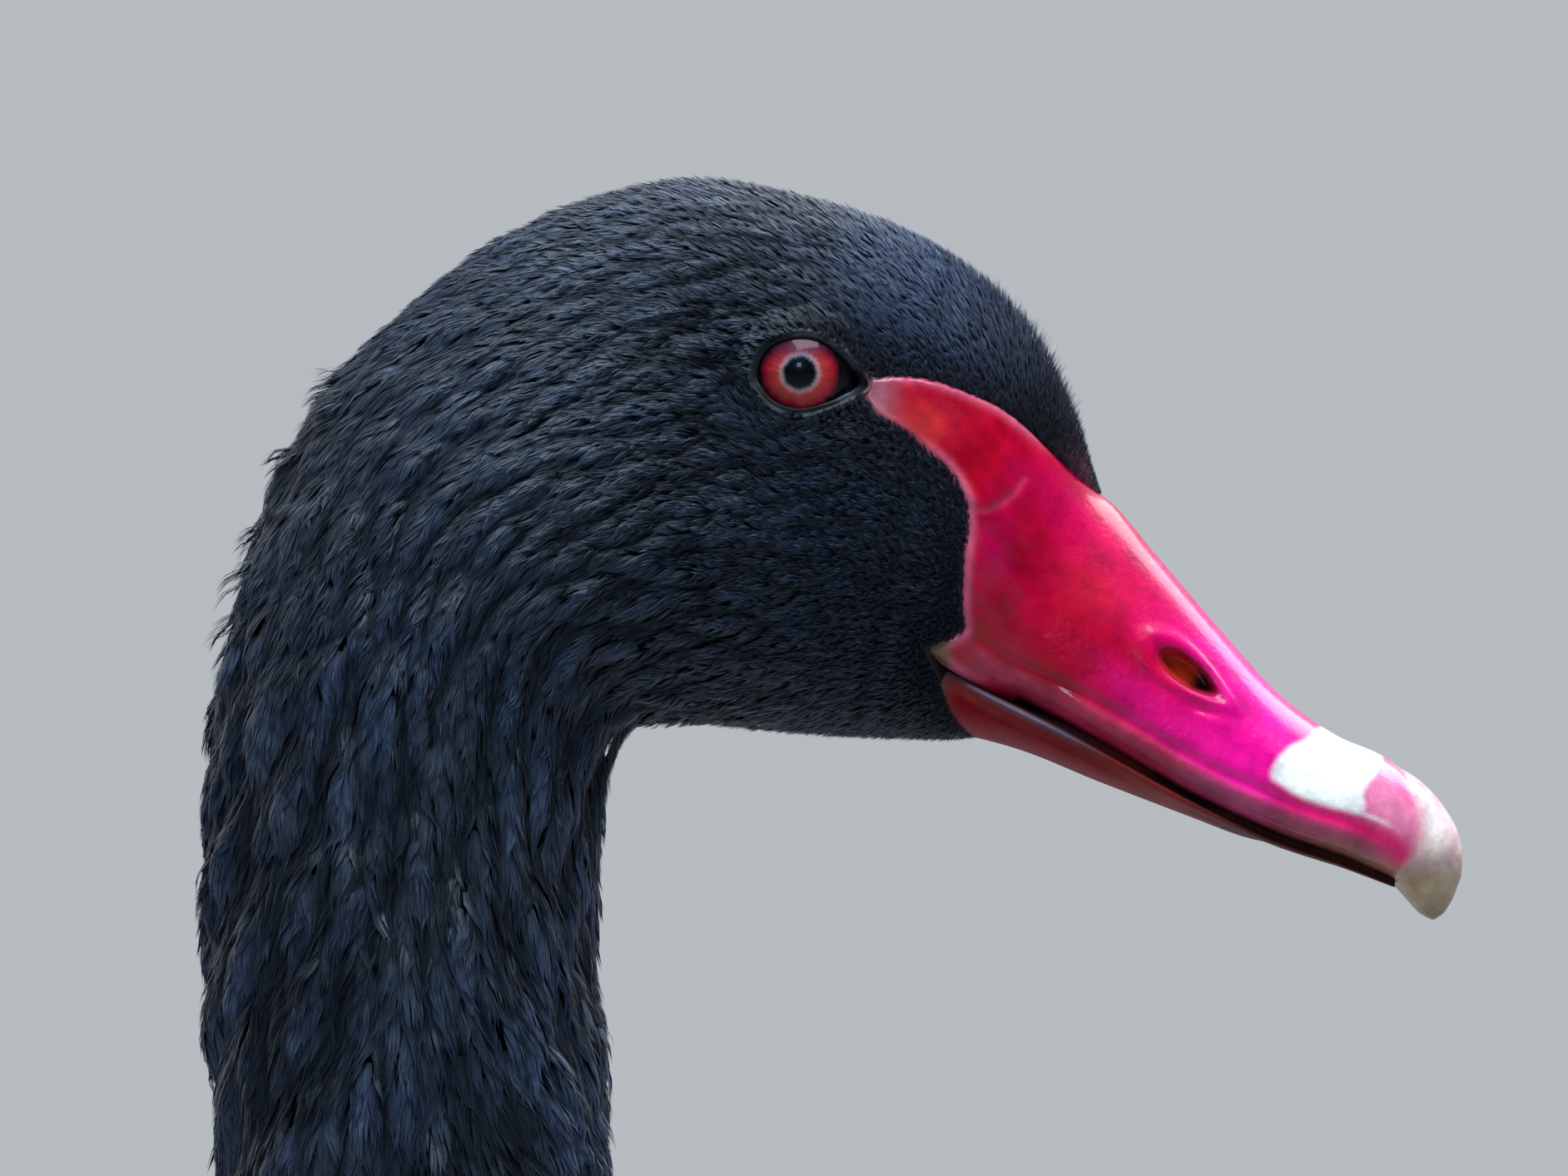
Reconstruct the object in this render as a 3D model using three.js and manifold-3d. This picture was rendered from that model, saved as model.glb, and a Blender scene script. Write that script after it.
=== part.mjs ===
// An adult black swan, life size, standing on both feet with its neck raised and its head in profile.
// +X is forward, +Y is the bird's left, +Z is up, and the floor is z = 0.
// The body is one tube of feathers from the bill's base to the tail, lofted between a back line and a
// belly line, and parted by thin cuts. Wings and long feathers are slabs laid over the trunk's surface.
import * as THREE from 'three';
import { mergeVertices } from 'three/addons/utils/BufferGeometryUtils.js';
import Module from 'manifold-3d';

const wasm = await Module();
wasm.setup();

// Driving dimensions, in millimetres.
const EYE_HEIGHT = 875; // of the eye's centre above the floor
const GAP = 0.3; // between pieces that meet
const EYE_RADIUS = 8;
const EYE_SIDE = 14.6; // of the eyeball's centre from the middle plane
const WING_THICKNESS = 24;
const SUNK = 4; // how far a layer over the trunk starts below its surface, before it is cut clear
const TERTIAL_THICKNESS = 9;
const PRIMARY_THICKNESS = 3.5;
const TAIL_LENGTH = 92; // of the tail feathers past the tail coverts
const TAIL_FAN = THREE.MathUtils.degToRad(19);
const LEG_SPACING = 108; // between the two ankles
const ANKLE_HEIGHT = 104;
const FOOT_X = -243; // of the toes' root, from the eye
const MIDDLE_TOE = 112;
const TOE_HEIGHT = { root: 11, tip: 6 };
const HIND_TOE_HEIGHT = { root: 9, tip: 4.5 };
const CLAW = { length: 10, height: 5.4 };
const HIND_CLAW = { length: 5, height: 4 };
const WEB_THICKNESS = 2.6;
const WEB_REACH = 0.96; // of a toe's length, up to which the web runs
const WEB_HOLLOW = 0.86; // how near the web's edge comes to the line between two toe tips
const INSTEP_HEIGHT = 15;
const CUT_WIDTH = 80; // of the cuts across the head and the bill, wider than both

const RED = 0xb3122c;
const BLACK = 0x17181d;
const SLATE = 0x2b2b2e;
const IVORY = 0xe6cfc4;
const WHITE = 0xe9e7e2;

// Stations of the body's tube. Top and bottom are the back line and the belly line in the middle plane, as
// (forward, up) from the eye. Side is the half width, low is how far up the section is widest, and square
// is the section's exponent, where 1 is an ellipse and less is boxier.
const BODY = [
  { name: 'bill base', top: [39.1, -15.7], bottom: [25.5, -46.6], side: 13.2, low: 0.42, square: 1 },
  { name: 'wedge', top: [34.7, -3.2], bottom: [19, -47.4], side: 16.4, low: 0.42, square: 1 },
  { name: 'forehead', top: [30, 5.9], bottom: [14.5, -47.2], side: 18.4, low: 0.42, square: 1 },
  { name: 'brow', top: [22, 13.9], bottom: [9, -47], side: 20.2, low: 0.42, square: 1 },
  { name: 'eye', top: [1.5, 22.8], bottom: [-2, -46.2], side: 22.6, low: 0.42, square: 1 },
  { name: 'crown', top: [-17.3, 25], bottom: [-10.5, -45.4], side: 24.2, low: 0.42, square: 1 },
  { name: 'occiput', top: [-40, 17.2], bottom: [-16.6, -45.6], side: 25.2, low: 0.44, square: 1 },
  { name: 'nape', top: [-62.5, -2], bottom: [-21.3, -47.2], side: 25.9, low: 0.48, square: 1 },
  { name: 'throat', top: [-74, -29], bottom: [-24.2, -54], side: 26.2, low: 0.5, square: 1 },
  { name: 'neck top', top: [-78.2, -60], bottom: [-25.1, -68], side: 26, low: 0.5, square: 1 },
  { name: 'upper neck', top: [-76, -104], bottom: [-23.2, -104], side: 25.8, low: 0.5, square: 1 },
  { name: 'middle neck', top: [-69, -212], bottom: [-14, -212], side: 27, low: 0.5, square: 1 },
  { name: 'lower neck', top: [-56, -330], bottom: [5, -326], side: 30, low: 0.5, square: 1 },
  { name: 'neck base', top: [-62, -418], bottom: [24, -418], side: 41, low: 0.5, square: 1 },
  { name: 'neck root', top: [-92, -463], bottom: [36, -494], side: 60, low: 0.48, square: 1 },
  { name: 'shoulder', top: [-138, -479], bottom: [36, -560], side: 80, low: 0.47, square: 0.97 },
  { name: 'breast', top: [-190, -482], bottom: [6, -640], side: 93, low: 0.47, square: 0.95 },
  { name: 'waist', top: [-245, -483], bottom: [-70, -689], side: 98, low: 0.48, square: 0.94 },
  { name: 'belly', top: [-305, -487], bottom: [-180, -704], side: 98, low: 0.48, square: 0.94 },
  { name: 'loin', top: [-362, -494], bottom: [-296, -696], side: 91, low: 0.5, square: 0.94 },
  { name: 'hip', top: [-416, -507], bottom: [-392, -667], side: 79, low: 0.52, square: 0.95 },
  { name: 'rump', top: [-464, -525], bottom: [-458, -627], side: 65, low: 0.55, square: 0.96 },
  { name: 'tail root', top: [-508, -543], bottom: [-509, -599], side: 56, low: 0.5, square: 0.97 },
  { name: 'tail coverts', top: [-552, -560], bottom: [-552, -584], side: 52, low: 0.4, square: 1 },
];

// Stations of the upper bill, from inside the head to the tip of the nail.
const UPPER_BILL = [
  { name: 'inside', top: [31, -9.5], bottom: [17.5, -36], side: 14.4, low: 0.3, square: 0.95 },
  { name: 'base', top: [39.3, -15.6], bottom: [22.5, -39.4], side: 15, low: 0.26, square: 0.93 },
  { name: 'bridge', top: [46, -23.2], bottom: [31.5, -44.1], side: 14.8, low: 0.2, square: 0.9 },
  { name: 'nostril', top: [54.5, -33.1], bottom: [41.5, -49.6], side: 14.4, low: 0.2, square: 0.86 },
  { name: 'dip', top: [62, -41.3], bottom: [51, -54.9], side: 14.2, low: 0.24, square: 0.84 },
  { name: 'band', top: [69.3, -46.6], bottom: [61.3, -59.6], side: 13.6, low: 0.3, square: 0.86 },
  { name: 'nail root', top: [76.2, -49.8], bottom: [70.6, -63], side: 11.6, low: 0.36, square: 0.9 },
  { name: 'nail', top: [82.6, -55], bottom: [76.2, -65.6], side: 8.3, low: 0.42, square: 0.95 },
  { name: 'hook', top: [85.6, -61.6], bottom: [79, -68.6], side: 4.8, low: 0.45, square: 1 },
  { name: 'tip', top: [84.6, -67.6], bottom: [81.5, -70.3], side: 1.8, low: 0.5, square: 1 },
];

// Stations of the lower bill, whose top lies a little under the upper bill's edge.
const LOWER_BILL = [
  { name: 'jaw', top: [13.5, -34.2], bottom: [18, -45.8], side: 12.4, low: 0.7, square: 0.9 },
  { name: 'gape', top: [22.3, -39], bottom: [28, -48.4], side: 13, low: 0.7, square: 0.88 },
  { name: 'ramus', top: [34, -45.1], bottom: [38.5, -52.6], side: 12.9, low: 0.7, square: 0.86 },
  { name: 'middle', top: [47, -52.6], bottom: [51, -57.4], side: 12.6, low: 0.7, square: 0.86 },
  { name: 'front', top: [60.3, -59.3], bottom: [62, -61.6], side: 11.2, low: 0.6, square: 0.9 },
  { name: 'lip', top: [69.8, -62.7], bottom: [70.2, -64.2], side: 8.6, low: 0.5, square: 1 },
  { name: 'end', top: [75.4, -65.1], bottom: [75.6, -66.1], side: 4.5, low: 0.5, square: 1 },
];

// The feather line of the face, seen from the side. The brow side runs from the eye over the bill to its
// ridge, and the cheek side from the gape back up to the eye.
const BROW_LINE = [[7.4, -1.6], [15.5, -0.4], [21.5, -1.9], [26.5, -4.8], [31, -9.2], [35.8, -13.8], [40.2, -17]];
const CHEEK_LINE = [[17.7, -34.6], [21.2, -29.5], [21.7, -20.5], [20.4, -14.2], [15.2, -8.6], [9.2, -4.2]];
const NAIL_LINE = [[74.4, -46.5], [78.4, -52], [79.9, -57], [79.2, -62], [75.5, -67]];

const along = new Map(BODY.map((station, i) => [station.name, i]));

// Chords between the middles of neighbouring stations.
function chords(stations) {
  const middle = (s) => new THREE.Vector2((s.top[0] + s.bottom[0]) / 2, (s.top[1] + s.bottom[1]) / 2);
  return stations.slice(1).map((s, i) => middle(s).distanceTo(middle(stations[i])));
}

// A smooth curve through the stations' values at place u, where whole numbers are the stations.
function smooth(values, chord, u) {
  const last = values.length - 1;
  const i = Math.min(Math.max(Math.floor(u), 0), last - 1);
  const s = u - i;
  const rise = (k) => (values[k + 1] - values[k]) / chord[k];
  const slope = (k) => {
    if (k === 0) return rise(0);
    if (k === last) return rise(last - 1);
    return (rise(k - 1) * chord[k] + rise(k) * chord[k - 1]) / (chord[k - 1] + chord[k]);
  };
  const square = s * s;
  const cube = square * s;
  return (2 * cube - 3 * square + 1) * values[i] + (3 * square - 2 * cube) * values[i + 1]
    + (cube - 2 * square + s) * chord[i] * slope(i) + (cube - square) * chord[i] * slope(i + 1);
}

// The tube through some stations: at(u, angle, out) is the point at place u and at an angle from the back
// line, where 90 degrees is the bird's left, moved outwards by out.
class Tube {
  constructor(stations) {
    this.chord = chords(stations);
    this.last = stations.length - 1;
    this.columns = {
      topX: stations.map((s) => s.top[0]),
      topZ: stations.map((s) => s.top[1] + EYE_HEIGHT),
      bottomX: stations.map((s) => s.bottom[0]),
      bottomZ: stations.map((s) => s.bottom[1] + EYE_HEIGHT),
      side: stations.map((s) => s.side),
      low: stations.map((s) => s.low),
      square: stations.map((s) => s.square),
    };
  }

  value(name, u) {
    return smooth(this.columns[name], this.chord, u);
  }

  at(u, angle, out = 0) {
    const top = new THREE.Vector2(this.value('topX', u), this.value('topZ', u));
    const bottom = new THREE.Vector2(this.value('bottomX', u), this.value('bottomZ', u));
    const height = top.distanceTo(bottom);
    const up = top.sub(bottom).divideScalar(height);
    const low = this.value('low', u);
    const power = this.value('square', u);
    const bend = (x) => Math.sign(x) * Math.abs(x) ** power;
    const cosine = bend(Math.cos(angle));
    const reach = (cosine > 0 ? 1 - low : low) * height + out;
    const v = low * height + reach * cosine;
    const y = (this.value('side', u) + out) * bend(Math.sin(angle));
    return new THREE.Vector3(bottom.x + up.x * v, y, bottom.y + up.y * v);
  }

  // Places from one station to another, no further apart than step.
  places(from, to, step) {
    const found = [from];
    for (let i = Math.floor(from); i < to; i += 1) {
      const start = Math.max(from, i);
      const end = Math.min(to, i + 1);
      const count = Math.max(1, Math.round((this.chord[i] * (end - start)) / step));
      for (let k = 1; k <= count; k += 1) found.push(start + ((end - start) * k) / count);
    }
    return found;
  }
}

// A closed surface through rings of points, with flat ends.
function ringsToGeometry(rings) {
  const sides = rings[0].length;
  const points = rings.flat();
  const faces = [];
  for (let r = 0; r + 1 < rings.length; r += 1) {
    for (let k = 0; k < sides; k += 1) {
      const a = r * sides + k;
      const b = r * sides + ((k + 1) % sides);
      faces.push(a, b, b + sides, a, b + sides, a + sides);
    }
  }
  for (const end of [0, rings.length - 1]) {
    const centre = rings[end].reduce((sum, p) => sum.add(p), new THREE.Vector3()).divideScalar(sides);
    points.push(centre);
    for (let k = 0; k < sides; k += 1) {
      const a = end * sides + k;
      const b = end * sides + ((k + 1) % sides);
      if (end === 0) faces.push(points.length - 1, b, a);
      else faces.push(points.length - 1, a, b);
    }
  }
  return new THREE.BufferGeometry().setFromPoints(points).setIndex(faces);
}

// A solid slab between two sheets: sheet(u, v, side) gives a point for u and v from 0 to 1.
function slab(sheet, across, lengthwise) {
  const points = [];
  for (const side of [0, 1]) {
    for (let i = 0; i <= across; i += 1) {
      for (let j = 0; j <= lengthwise; j += 1) points.push(sheet(i / across, j / lengthwise, side));
    }
  }
  const row = lengthwise + 1;
  const second = row * (across + 1);
  const faces = [];
  for (let i = 0; i < across; i += 1) {
    for (let j = 0; j < lengthwise; j += 1) {
      const a = i * row + j;
      faces.push(a, a + 1, a + row + 1, a, a + row + 1, a + row);
      faces.push(second + a, second + a + row + 1, second + a + 1);
      faces.push(second + a, second + a + row, second + a + row + 1);
    }
  }
  const rim = [];
  for (let j = 0; j < lengthwise; j += 1) rim.push([j + 1, j]);
  for (let i = 0; i < across; i += 1) rim.push([i * row, (i + 1) * row]);
  for (let j = 0; j < lengthwise; j += 1) rim.push([across * row + j, across * row + j + 1]);
  for (let i = across; i > 0; i -= 1) rim.push([i * row + lengthwise, (i - 1) * row + lengthwise]);
  for (const [a, b] of rim) faces.push(a, b, second + b, a, second + b, second + a);
  return toSolid(new THREE.BufferGeometry().setFromPoints(points).setIndex(faces));
}

function toSolid(geometry) {
  const bare = geometry.clone();
  bare.deleteAttribute('normal');
  bare.deleteAttribute('uv');
  const merged = mergeVertices(bare, 1e-4);
  const solid = new wasm.Manifold(new wasm.Mesh({
    numProp: 3,
    vertProperties: merged.attributes.position.array,
    triVerts: new Uint32Array(merged.index.array),
  }));
  if (solid.volume() >= 0) return solid;
  const flipped = new Uint32Array(merged.index.array);
  for (let i = 0; i < flipped.length; i += 3) [flipped[i], flipped[i + 1]] = [flipped[i + 1], flipped[i]];
  return new wasm.Manifold(new wasm.Mesh({
    numProp: 3,
    vertProperties: merged.attributes.position.array,
    triVerts: flipped,
  }));
}

// The largest body of a solid as a geometry, without the slivers that a cut can leave.
function toGeometry(solid) {
  const body = solid.decompose().sort((a, b) => b.volume() - a.volume())[0];
  const mesh = body.getMesh();
  const points = new Float32Array(mesh.numVert * 3);
  for (let i = 0; i < mesh.numVert; i += 1) {
    points.set(mesh.vertProperties.subarray(i * mesh.numProp, i * mesh.numProp + 3), i * 3);
  }
  return new THREE.BufferGeometry()
    .setAttribute('position', new THREE.BufferAttribute(points, 3))
    .setIndex(new THREE.BufferAttribute(mesh.triVerts, 1));
}

// A tube's rings from one place to another, sides round, moved outwards by out.
function tubeGeometry(tube, from, to, step, sides, out = 0) {
  return ringsToGeometry(tube.places(from, to, step).map((u) => (
    Array.from({ length: sides }, (_, k) => tube.at(u, (2 * Math.PI * k) / sides, out)))));
}

// A prism across the bird whose side view is an outline of (forward, up) points, grown by some distance.
function prism(outline, grow = 0) {
  const loop = outline.map(([x, z]) => new THREE.Vector2(x, z + EYE_HEIGHT));
  const turn = THREE.ShapeUtils.area(loop) > 0 ? 1 : -1;
  const grown = loop.map((p, i) => {
    const before = loop[(i + loop.length - 1) % loop.length];
    const after = loop[(i + 1) % loop.length];
    const normal = after.clone().sub(before).normalize();
    return new THREE.Vector2(p.x + normal.y * turn * grow, p.y - normal.x * turn * grow);
  });
  const geometry = new THREE.ExtrudeGeometry(new THREE.Shape(grown), { depth: CUT_WIDTH, bevelEnabled: false });
  geometry.rotateX(Math.PI / 2).translate(0, CUT_WIDTH / 2, 0);
  return toSolid(geometry);
}

function curved(points, count) {
  const curve = new THREE.SplineCurve(points.map(([x, z]) => new THREE.Vector2(x, z)));
  return curve.getPoints(count).map((p) => [p.x, p.y]);
}

const body = new Tube(BODY);
const upperBill = new Tube(UPPER_BILL);
const lowerBill = new Tube(LOWER_BILL);

const swan = new THREE.Group();

function addPiece(name, solid, colour, roughness = 0.7) {
  const material = new THREE.MeshStandardMaterial({ color: colour, roughness, metalness: 0 });
  const mesh = new THREE.Mesh(toGeometry(solid), material);
  mesh.name = name;
  swan.add(mesh);
}

// The head, parted from the upper bill along the feather line, with a socket for each eye.
function addHead() {
  const tube = toSolid(tubeGeometry(body, 0, along.get('neck top') - 0.01, 10, 20));
  const bill = toSolid(tubeGeometry(upperBill, 0, UPPER_BILL.length - 1, 8, 16));
  const under = UPPER_BILL.slice(1).map((s) => [s.bottom[0], s.bottom[1] - 0.1]);
  const bare = [
    ...curved(BROW_LINE, 6),
    [60, -15],
    [100, -50],
    [100, -75],
    [82, -75],
    ...under.reverse(),
    ...curved(CHEEK_LINE, 6),
  ];
  const lower = toSolid(tubeGeometry(lowerBill, 0, LOWER_BILL.length - 1, 12, 12));
  const lowerGrown = toSolid(tubeGeometry(lowerBill, 0, LOWER_BILL.length - 1, 12, 12, GAP));
  const eyes = [-1, 1].map((side) => new THREE.SphereGeometry(EYE_RADIUS, 12, 8)
    .rotateX(Math.PI / 2).translate(0, side * EYE_SIDE, EYE_HEIGHT));
  const sockets = [-1, 1].map((side) => toSolid(new THREE.SphereGeometry(EYE_RADIUS + GAP, 12, 8)
    .rotateX(Math.PI / 2).translate(0, side * EYE_SIDE, EYE_HEIGHT)));

  let head = tube.subtract(prism(bare, GAP)).subtract(lowerGrown);
  for (const socket of sockets) head = head.subtract(socket);
  let upper = tube.add(bill).intersect(prism(bare)).subtract(lowerGrown);
  for (const socket of sockets) upper = upper.subtract(socket);

  const nailSide = [...curved(NAIL_LINE, 6), [74, -80], [110, -80], [110, -40], [75, -40]];
  const nail = upper.intersect(prism(nailSide));
  const horn = upper.subtract(prism(nailSide, GAP));
  const headGrown = toSolid(tubeGeometry(body, 0, along.get('neck top'), 10, 20, GAP));
  const jaw = lower.subtract(headGrown);

  addPiece('head', head, BLACK);
  addPiece('bill_upper', horn, RED, 0.3);
  addPiece('bill_nail', nail, IVORY, 0.3);
  addPiece('bill_lower', jaw, RED, 0.4);
  addPiece('eye_right', toSolid(eyes[0]), RED, 0.05);
  addPiece('eye_left', toSolid(eyes[1]), RED, 0.05);
}

// The neck, in four lengths.
function addNeck() {
  const cuts = ['neck top', 'upper neck', 'middle neck', 'lower neck', 'neck root'].map((n) => along.get(n));
  for (let i = 0; i + 1 < cuts.length; i += 1) {
    const from = cuts[i] + GAP / 2 / body.chord[cuts[i]];
    const to = cuts[i + 1] - GAP / 2 / body.chord[cuts[i + 1] - 1];
    addPiece(`neck_${i + 1}`, toSolid(tubeGeometry(body, from, to, 30, 20)), BLACK);
  }
}

const TRUNK_FROM = along.get('neck root') + GAP / 2 / body.chord[along.get('neck root')];
const TRUNK_TO = along.get('tail coverts');

function trunkGeometry(out = 0) {
  return tubeGeometry(body, TRUNK_FROM, TRUNK_TO, 40, 24, out);
}

// The folded wing: its upper and lower edges are angles from the back line, which close in at both ends.
const WING_FROM = along.get('neck root') + 0.55;
const WING_TO = along.get('rump') + 0.3;
const rad = THREE.MathUtils.degToRad;

// A quarter of a circle's rise from 0 to 1, over the first part of a length.
const roundRise = (s, part) => Math.sqrt(1 - (1 - Math.min(s / part, 1)) ** 2);

function wingEdges(u) {
  const s = THREE.MathUtils.clamp((u - WING_FROM) / (WING_TO - WING_FROM), 0, 1);
  const upper = rad(72 - 65 * roundRise(s, 0.5));
  const lower = rad(78 + 34 * roundRise(s, 0.25) - 40 * THREE.MathUtils.smoothstep(s, 0.5, 1));
  return [upper, lower];
}

// How far the folded wing stands out from the trunk.
function wingHeight(u, angle) {
  const place = (u - WING_FROM) / (WING_TO - WING_FROM);
  if (place < -0.02 || place > 1.02) return 0;
  const s = THREE.MathUtils.clamp(place, 0, 1);
  const [upper, lower] = wingEdges(u);
  const q = THREE.MathUtils.clamp((angle - upper) / (lower - upper), 0, 1);
  const swell = 1 - Math.abs(2 * q - 1) ** 3;
  const lengthwise = THREE.MathUtils.smoothstep(s, 0, 0.22) * (1 - 0.65 * THREE.MathUtils.smoothstep(s, 0.45, 1));
  return 1.2 + WING_THICKNESS * swell * (0.12 + 0.88 * lengthwise);
}

// A point over the left or right of the trunk, beyond the wing if it is over one.
function overTrunk(side, u, angle, out) {
  const point = body.at(u, angle, out);
  point.y *= side;
  return point;
}

// A slab that lies over the trunk, from under the layer below up to its own top. The sheet's a runs round
// the body and its b backwards, both from 0 to 1, and grow swells the slab for cutting the next layer.
function layer(side, surface, across, lengthwise, grow) {
  const border = grow > 0 ? 0.01 : 0;
  const widen = (x) => x + (x < 1e-6 ? -border : 0) + (x > 1 - 1e-6 ? border : 0);
  return slab((a, b, top) => {
    const { u, angle, height, thickness } = surface(widen(a), widen(b));
    return overTrunk(side, u, angle, top ? height + thickness + grow : height - SUNK);
  }, across, lengthwise);
}

function wingSolid(side, grow = 0) {
  return layer(side, (a, b) => {
    const u = WING_FROM + (WING_TO - WING_FROM) * b;
    const [upper, lower] = wingEdges(u);
    const angle = upper + (lower - upper) * a;
    return { u, angle, height: 0, thickness: wingHeight(u, angle) };
  }, 8, 11, grow);
}

// The rise of one rounded feather tip in each of count feathers, from 0 at its sides to 1 in its middle.
const lobe = (x, count) => Math.sqrt(Math.abs(Math.sin(Math.PI * x * count)));

// The long ruffled feathers that fall over the back of the folded wing.
const TERTIALS_FROM = along.get('waist') + 0.4;
const TERTIALS_TO = along.get('rump') + 0.75;
const tertialEdge = (s) => rad(66 - 34 * s * s);

function tertialsSolid(side, grow = 0) {
  return layer(side, (a, b) => {
    const from = TERTIALS_FROM + 0.9 * a * a;
    const u = from + (TERTIALS_TO - from) * b * (0.86 + 0.14 * lobe(a, 6));
    const s = THREE.MathUtils.clamp((u - TERTIALS_FROM) / (TERTIALS_TO - TERTIALS_FROM), 0, 1);
    const angle = rad(6) + (tertialEdge(s) - rad(6)) * a;
    const ruffle = 1 + 0.35 * Math.sin(18 * a + 9 * b);
    return { u, angle, height: wingHeight(u, angle), thickness: TERTIAL_THICKNESS * (1 - 0.55 * b) * ruffle };
  }, 12, 5, grow);
}

// The folded primaries, which show as a narrow white blade under the ruffled feathers.
const PRIMARIES_FROM = along.get('loin') + 0.1;
const PRIMARIES_TO = along.get('tail root') + 0.55;

function primariesSolid(side) {
  return layer(side, (a, b) => {
    const u = PRIMARIES_FROM + (PRIMARIES_TO - PRIMARIES_FROM) * b * (0.94 + 0.06 * lobe(a, 3));
    const s = THREE.MathUtils.clamp((u - TERTIALS_FROM) / (TERTIALS_TO - TERTIALS_FROM), 0, 1.1);
    const angle = tertialEdge(s) + rad(3) + rad(17 * (1 - b) ** 0.7 + 3) * a;
    return { u, angle, height: wingHeight(u, angle), thickness: PRIMARY_THICKNESS * (1 - 0.5 * b) };
  }, 6, 5, 0);
}

// The folded wings and the long feathers over them, each cut clear of what it lies on.
function addWings(trunkCut) {
  for (const [name, side] of [['right', -1], ['left', 1]]) {
    const wing = wingSolid(side).subtract(trunkCut);
    const wingCut = wingSolid(side, GAP);
    const tertials = tertialsSolid(side).subtract(trunkCut).subtract(wingCut);
    const primaries = primariesSolid(side).subtract(trunkCut).subtract(wingCut)
      .subtract(tertialsSolid(side, GAP));
    addPiece(`wing_${name}`, wing, BLACK);
    addPiece(`tertials_${name}`, tertials, BLACK);
    addPiece(`primaries_${name}`, primaries, WHITE, 0.6);
  }
}

// The tail: a shallow roof of feathers behind the coverts.
function addTail(trunkCut) {
  const end = BODY[TRUNK_TO];
  const thickness = end.top[1] - end.bottom[1];
  const middle = (end.top[1] + end.bottom[1]) / 2 + EYE_HEIGHT;
  addPiece('tail', slab((a, b, outer) => {
    const across = 2 * a - 1;
    const reach = TAIL_LENGTH * b * (1 - 0.27 * across * across) * (0.93 + 0.07 * lobe(a, 11));
    const turn = TAIL_FAN * across;
    const roof = Math.sqrt(Math.max(0, 1 - across * across));
    const half = (thickness / 2) * (1 - b) * (0.25 + 0.7 * roof) + 1;
    const x = end.top[0] - GAP - reach * Math.cos(turn);
    const y = (end.side - 3) * across + reach * Math.sin(turn);
    const z = middle - 7 * across * across - reach * 0.16 + (outer ? half : -half);
    return new THREE.Vector3(x, y, z);
  }, 22, 3).subtract(trunkCut), BLACK);
}

// A level ring of a limb round a centre.
function levelRing([x, y, z], forward, side, count) {
  return Array.from({ length: count }, (_, k) => {
    const angle = (2 * Math.PI * k) / count;
    return new THREE.Vector3(x + forward * Math.cos(angle), y + side * Math.sin(angle), z);
  });
}

// The feathered shin and the bare shank. Each station is how far up it is, how far forward of the toes'
// root, and its half sizes forward and sideways.
const SHIN = [
  { z: 290, x: 20, forward: 44, side: 12 },
  { z: 220, x: 4, forward: 42, side: 20 },
  { z: 182, x: -8, forward: 32, side: 20 },
  { z: 150, x: -18, forward: 20, side: 15 },
  { z: 122, x: -24, forward: 11.5, side: 10.5 },
  { z: ANKLE_HEIGHT + GAP, x: -26, forward: 9.5, side: 8.5 },
];
const SHANK = [
  { z: ANKLE_HEIGHT, x: -26, forward: 9.2, side: 7.6 },
  { z: 92, x: -25, forward: 9.6, side: 7.8 },
  { z: 78, x: -20, forward: 7.4, side: 5.8 },
  { z: 50, x: -10, forward: 6.4, side: 4.9 },
  { z: 28, x: -3, forward: 7, side: 5.8 },
  { z: INSTEP_HEIGHT + GAP, x: 0, forward: 9, side: 8 },
];

function limb(stations, y, count) {
  return ringsToGeometry(stations.map((s) => levelRing([FOOT_X + s.x, y, s.z], s.forward, s.side, count)));
}

// Toes of a right foot, by their turn outwards from straight ahead in degrees, and their length as a share
// of the middle toe's.
const TOES = [
  { name: 'inner', turn: -24, length: 0.86 },
  { name: 'middle', turn: 2, length: 1 },
  { name: 'outer', turn: 27, length: 0.96 },
];
const HIND_TOE = { name: 'hind', turn: 165, length: 0.2 };

function toeGeometry(length, heights, joints) {
  const steps = 6;
  const sides = 8;
  const rings = Array.from({ length: steps + 1 }, (_, i) => {
    const s = i / steps;
    const height = THREE.MathUtils.lerp(heights.root, heights.tip, s) + 0.6 * Math.cos(2 * Math.PI * joints * s);
    return Array.from({ length: sides }, (__, k) => {
      const angle = (2 * Math.PI * k) / sides;
      const z = Math.max(0, height * (0.45 + 0.55 * Math.cos(angle)));
      return new THREE.Vector3(length * s, 0.52 * height * Math.sin(angle), z);
    });
  });
  return ringsToGeometry(rings);
}

function clawGeometry({ length, height }) {
  const steps = 3;
  const sides = 6;
  return ringsToGeometry(Array.from({ length: steps + 1 }, (_, i) => {
    const s = i / steps;
    const thick = height * (1 - 0.82 * s);
    const lift = 0.45 * height * (1 - s * s) + 0.5 * thick * 0.2;
    return Array.from({ length: sides }, (__, k) => {
      const angle = (2 * Math.PI * k) / sides;
      const z = Math.max(0.05, lift + 0.5 * thick * Math.cos(angle));
      return new THREE.Vector3(length * s, 0.42 * thick * Math.sin(angle), z);
    });
  }));
}

// The web's outline joins the toe tips with shallow hollows.
function webShape() {
  const tips = TOES.map(({ turn, length }) => new THREE.Vector2(MIDDLE_TOE * length * WEB_REACH, 0)
    .rotateAround(new THREE.Vector2(), -rad(turn)));
  const shape = new THREE.Shape();
  shape.moveTo(-6, -5);
  shape.lineTo(-6, 5);
  shape.lineTo(tips[0].x, tips[0].y);
  for (const [a, b] of [[0, 1], [1, 2]]) {
    const hollow = tips[a].clone().add(tips[b]).multiplyScalar(WEB_HOLLOW / 2);
    shape.quadraticCurveTo(hollow.x, hollow.y, tips[b].x, tips[b].y);
  }
  shape.closePath();
  return shape;
}

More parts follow.
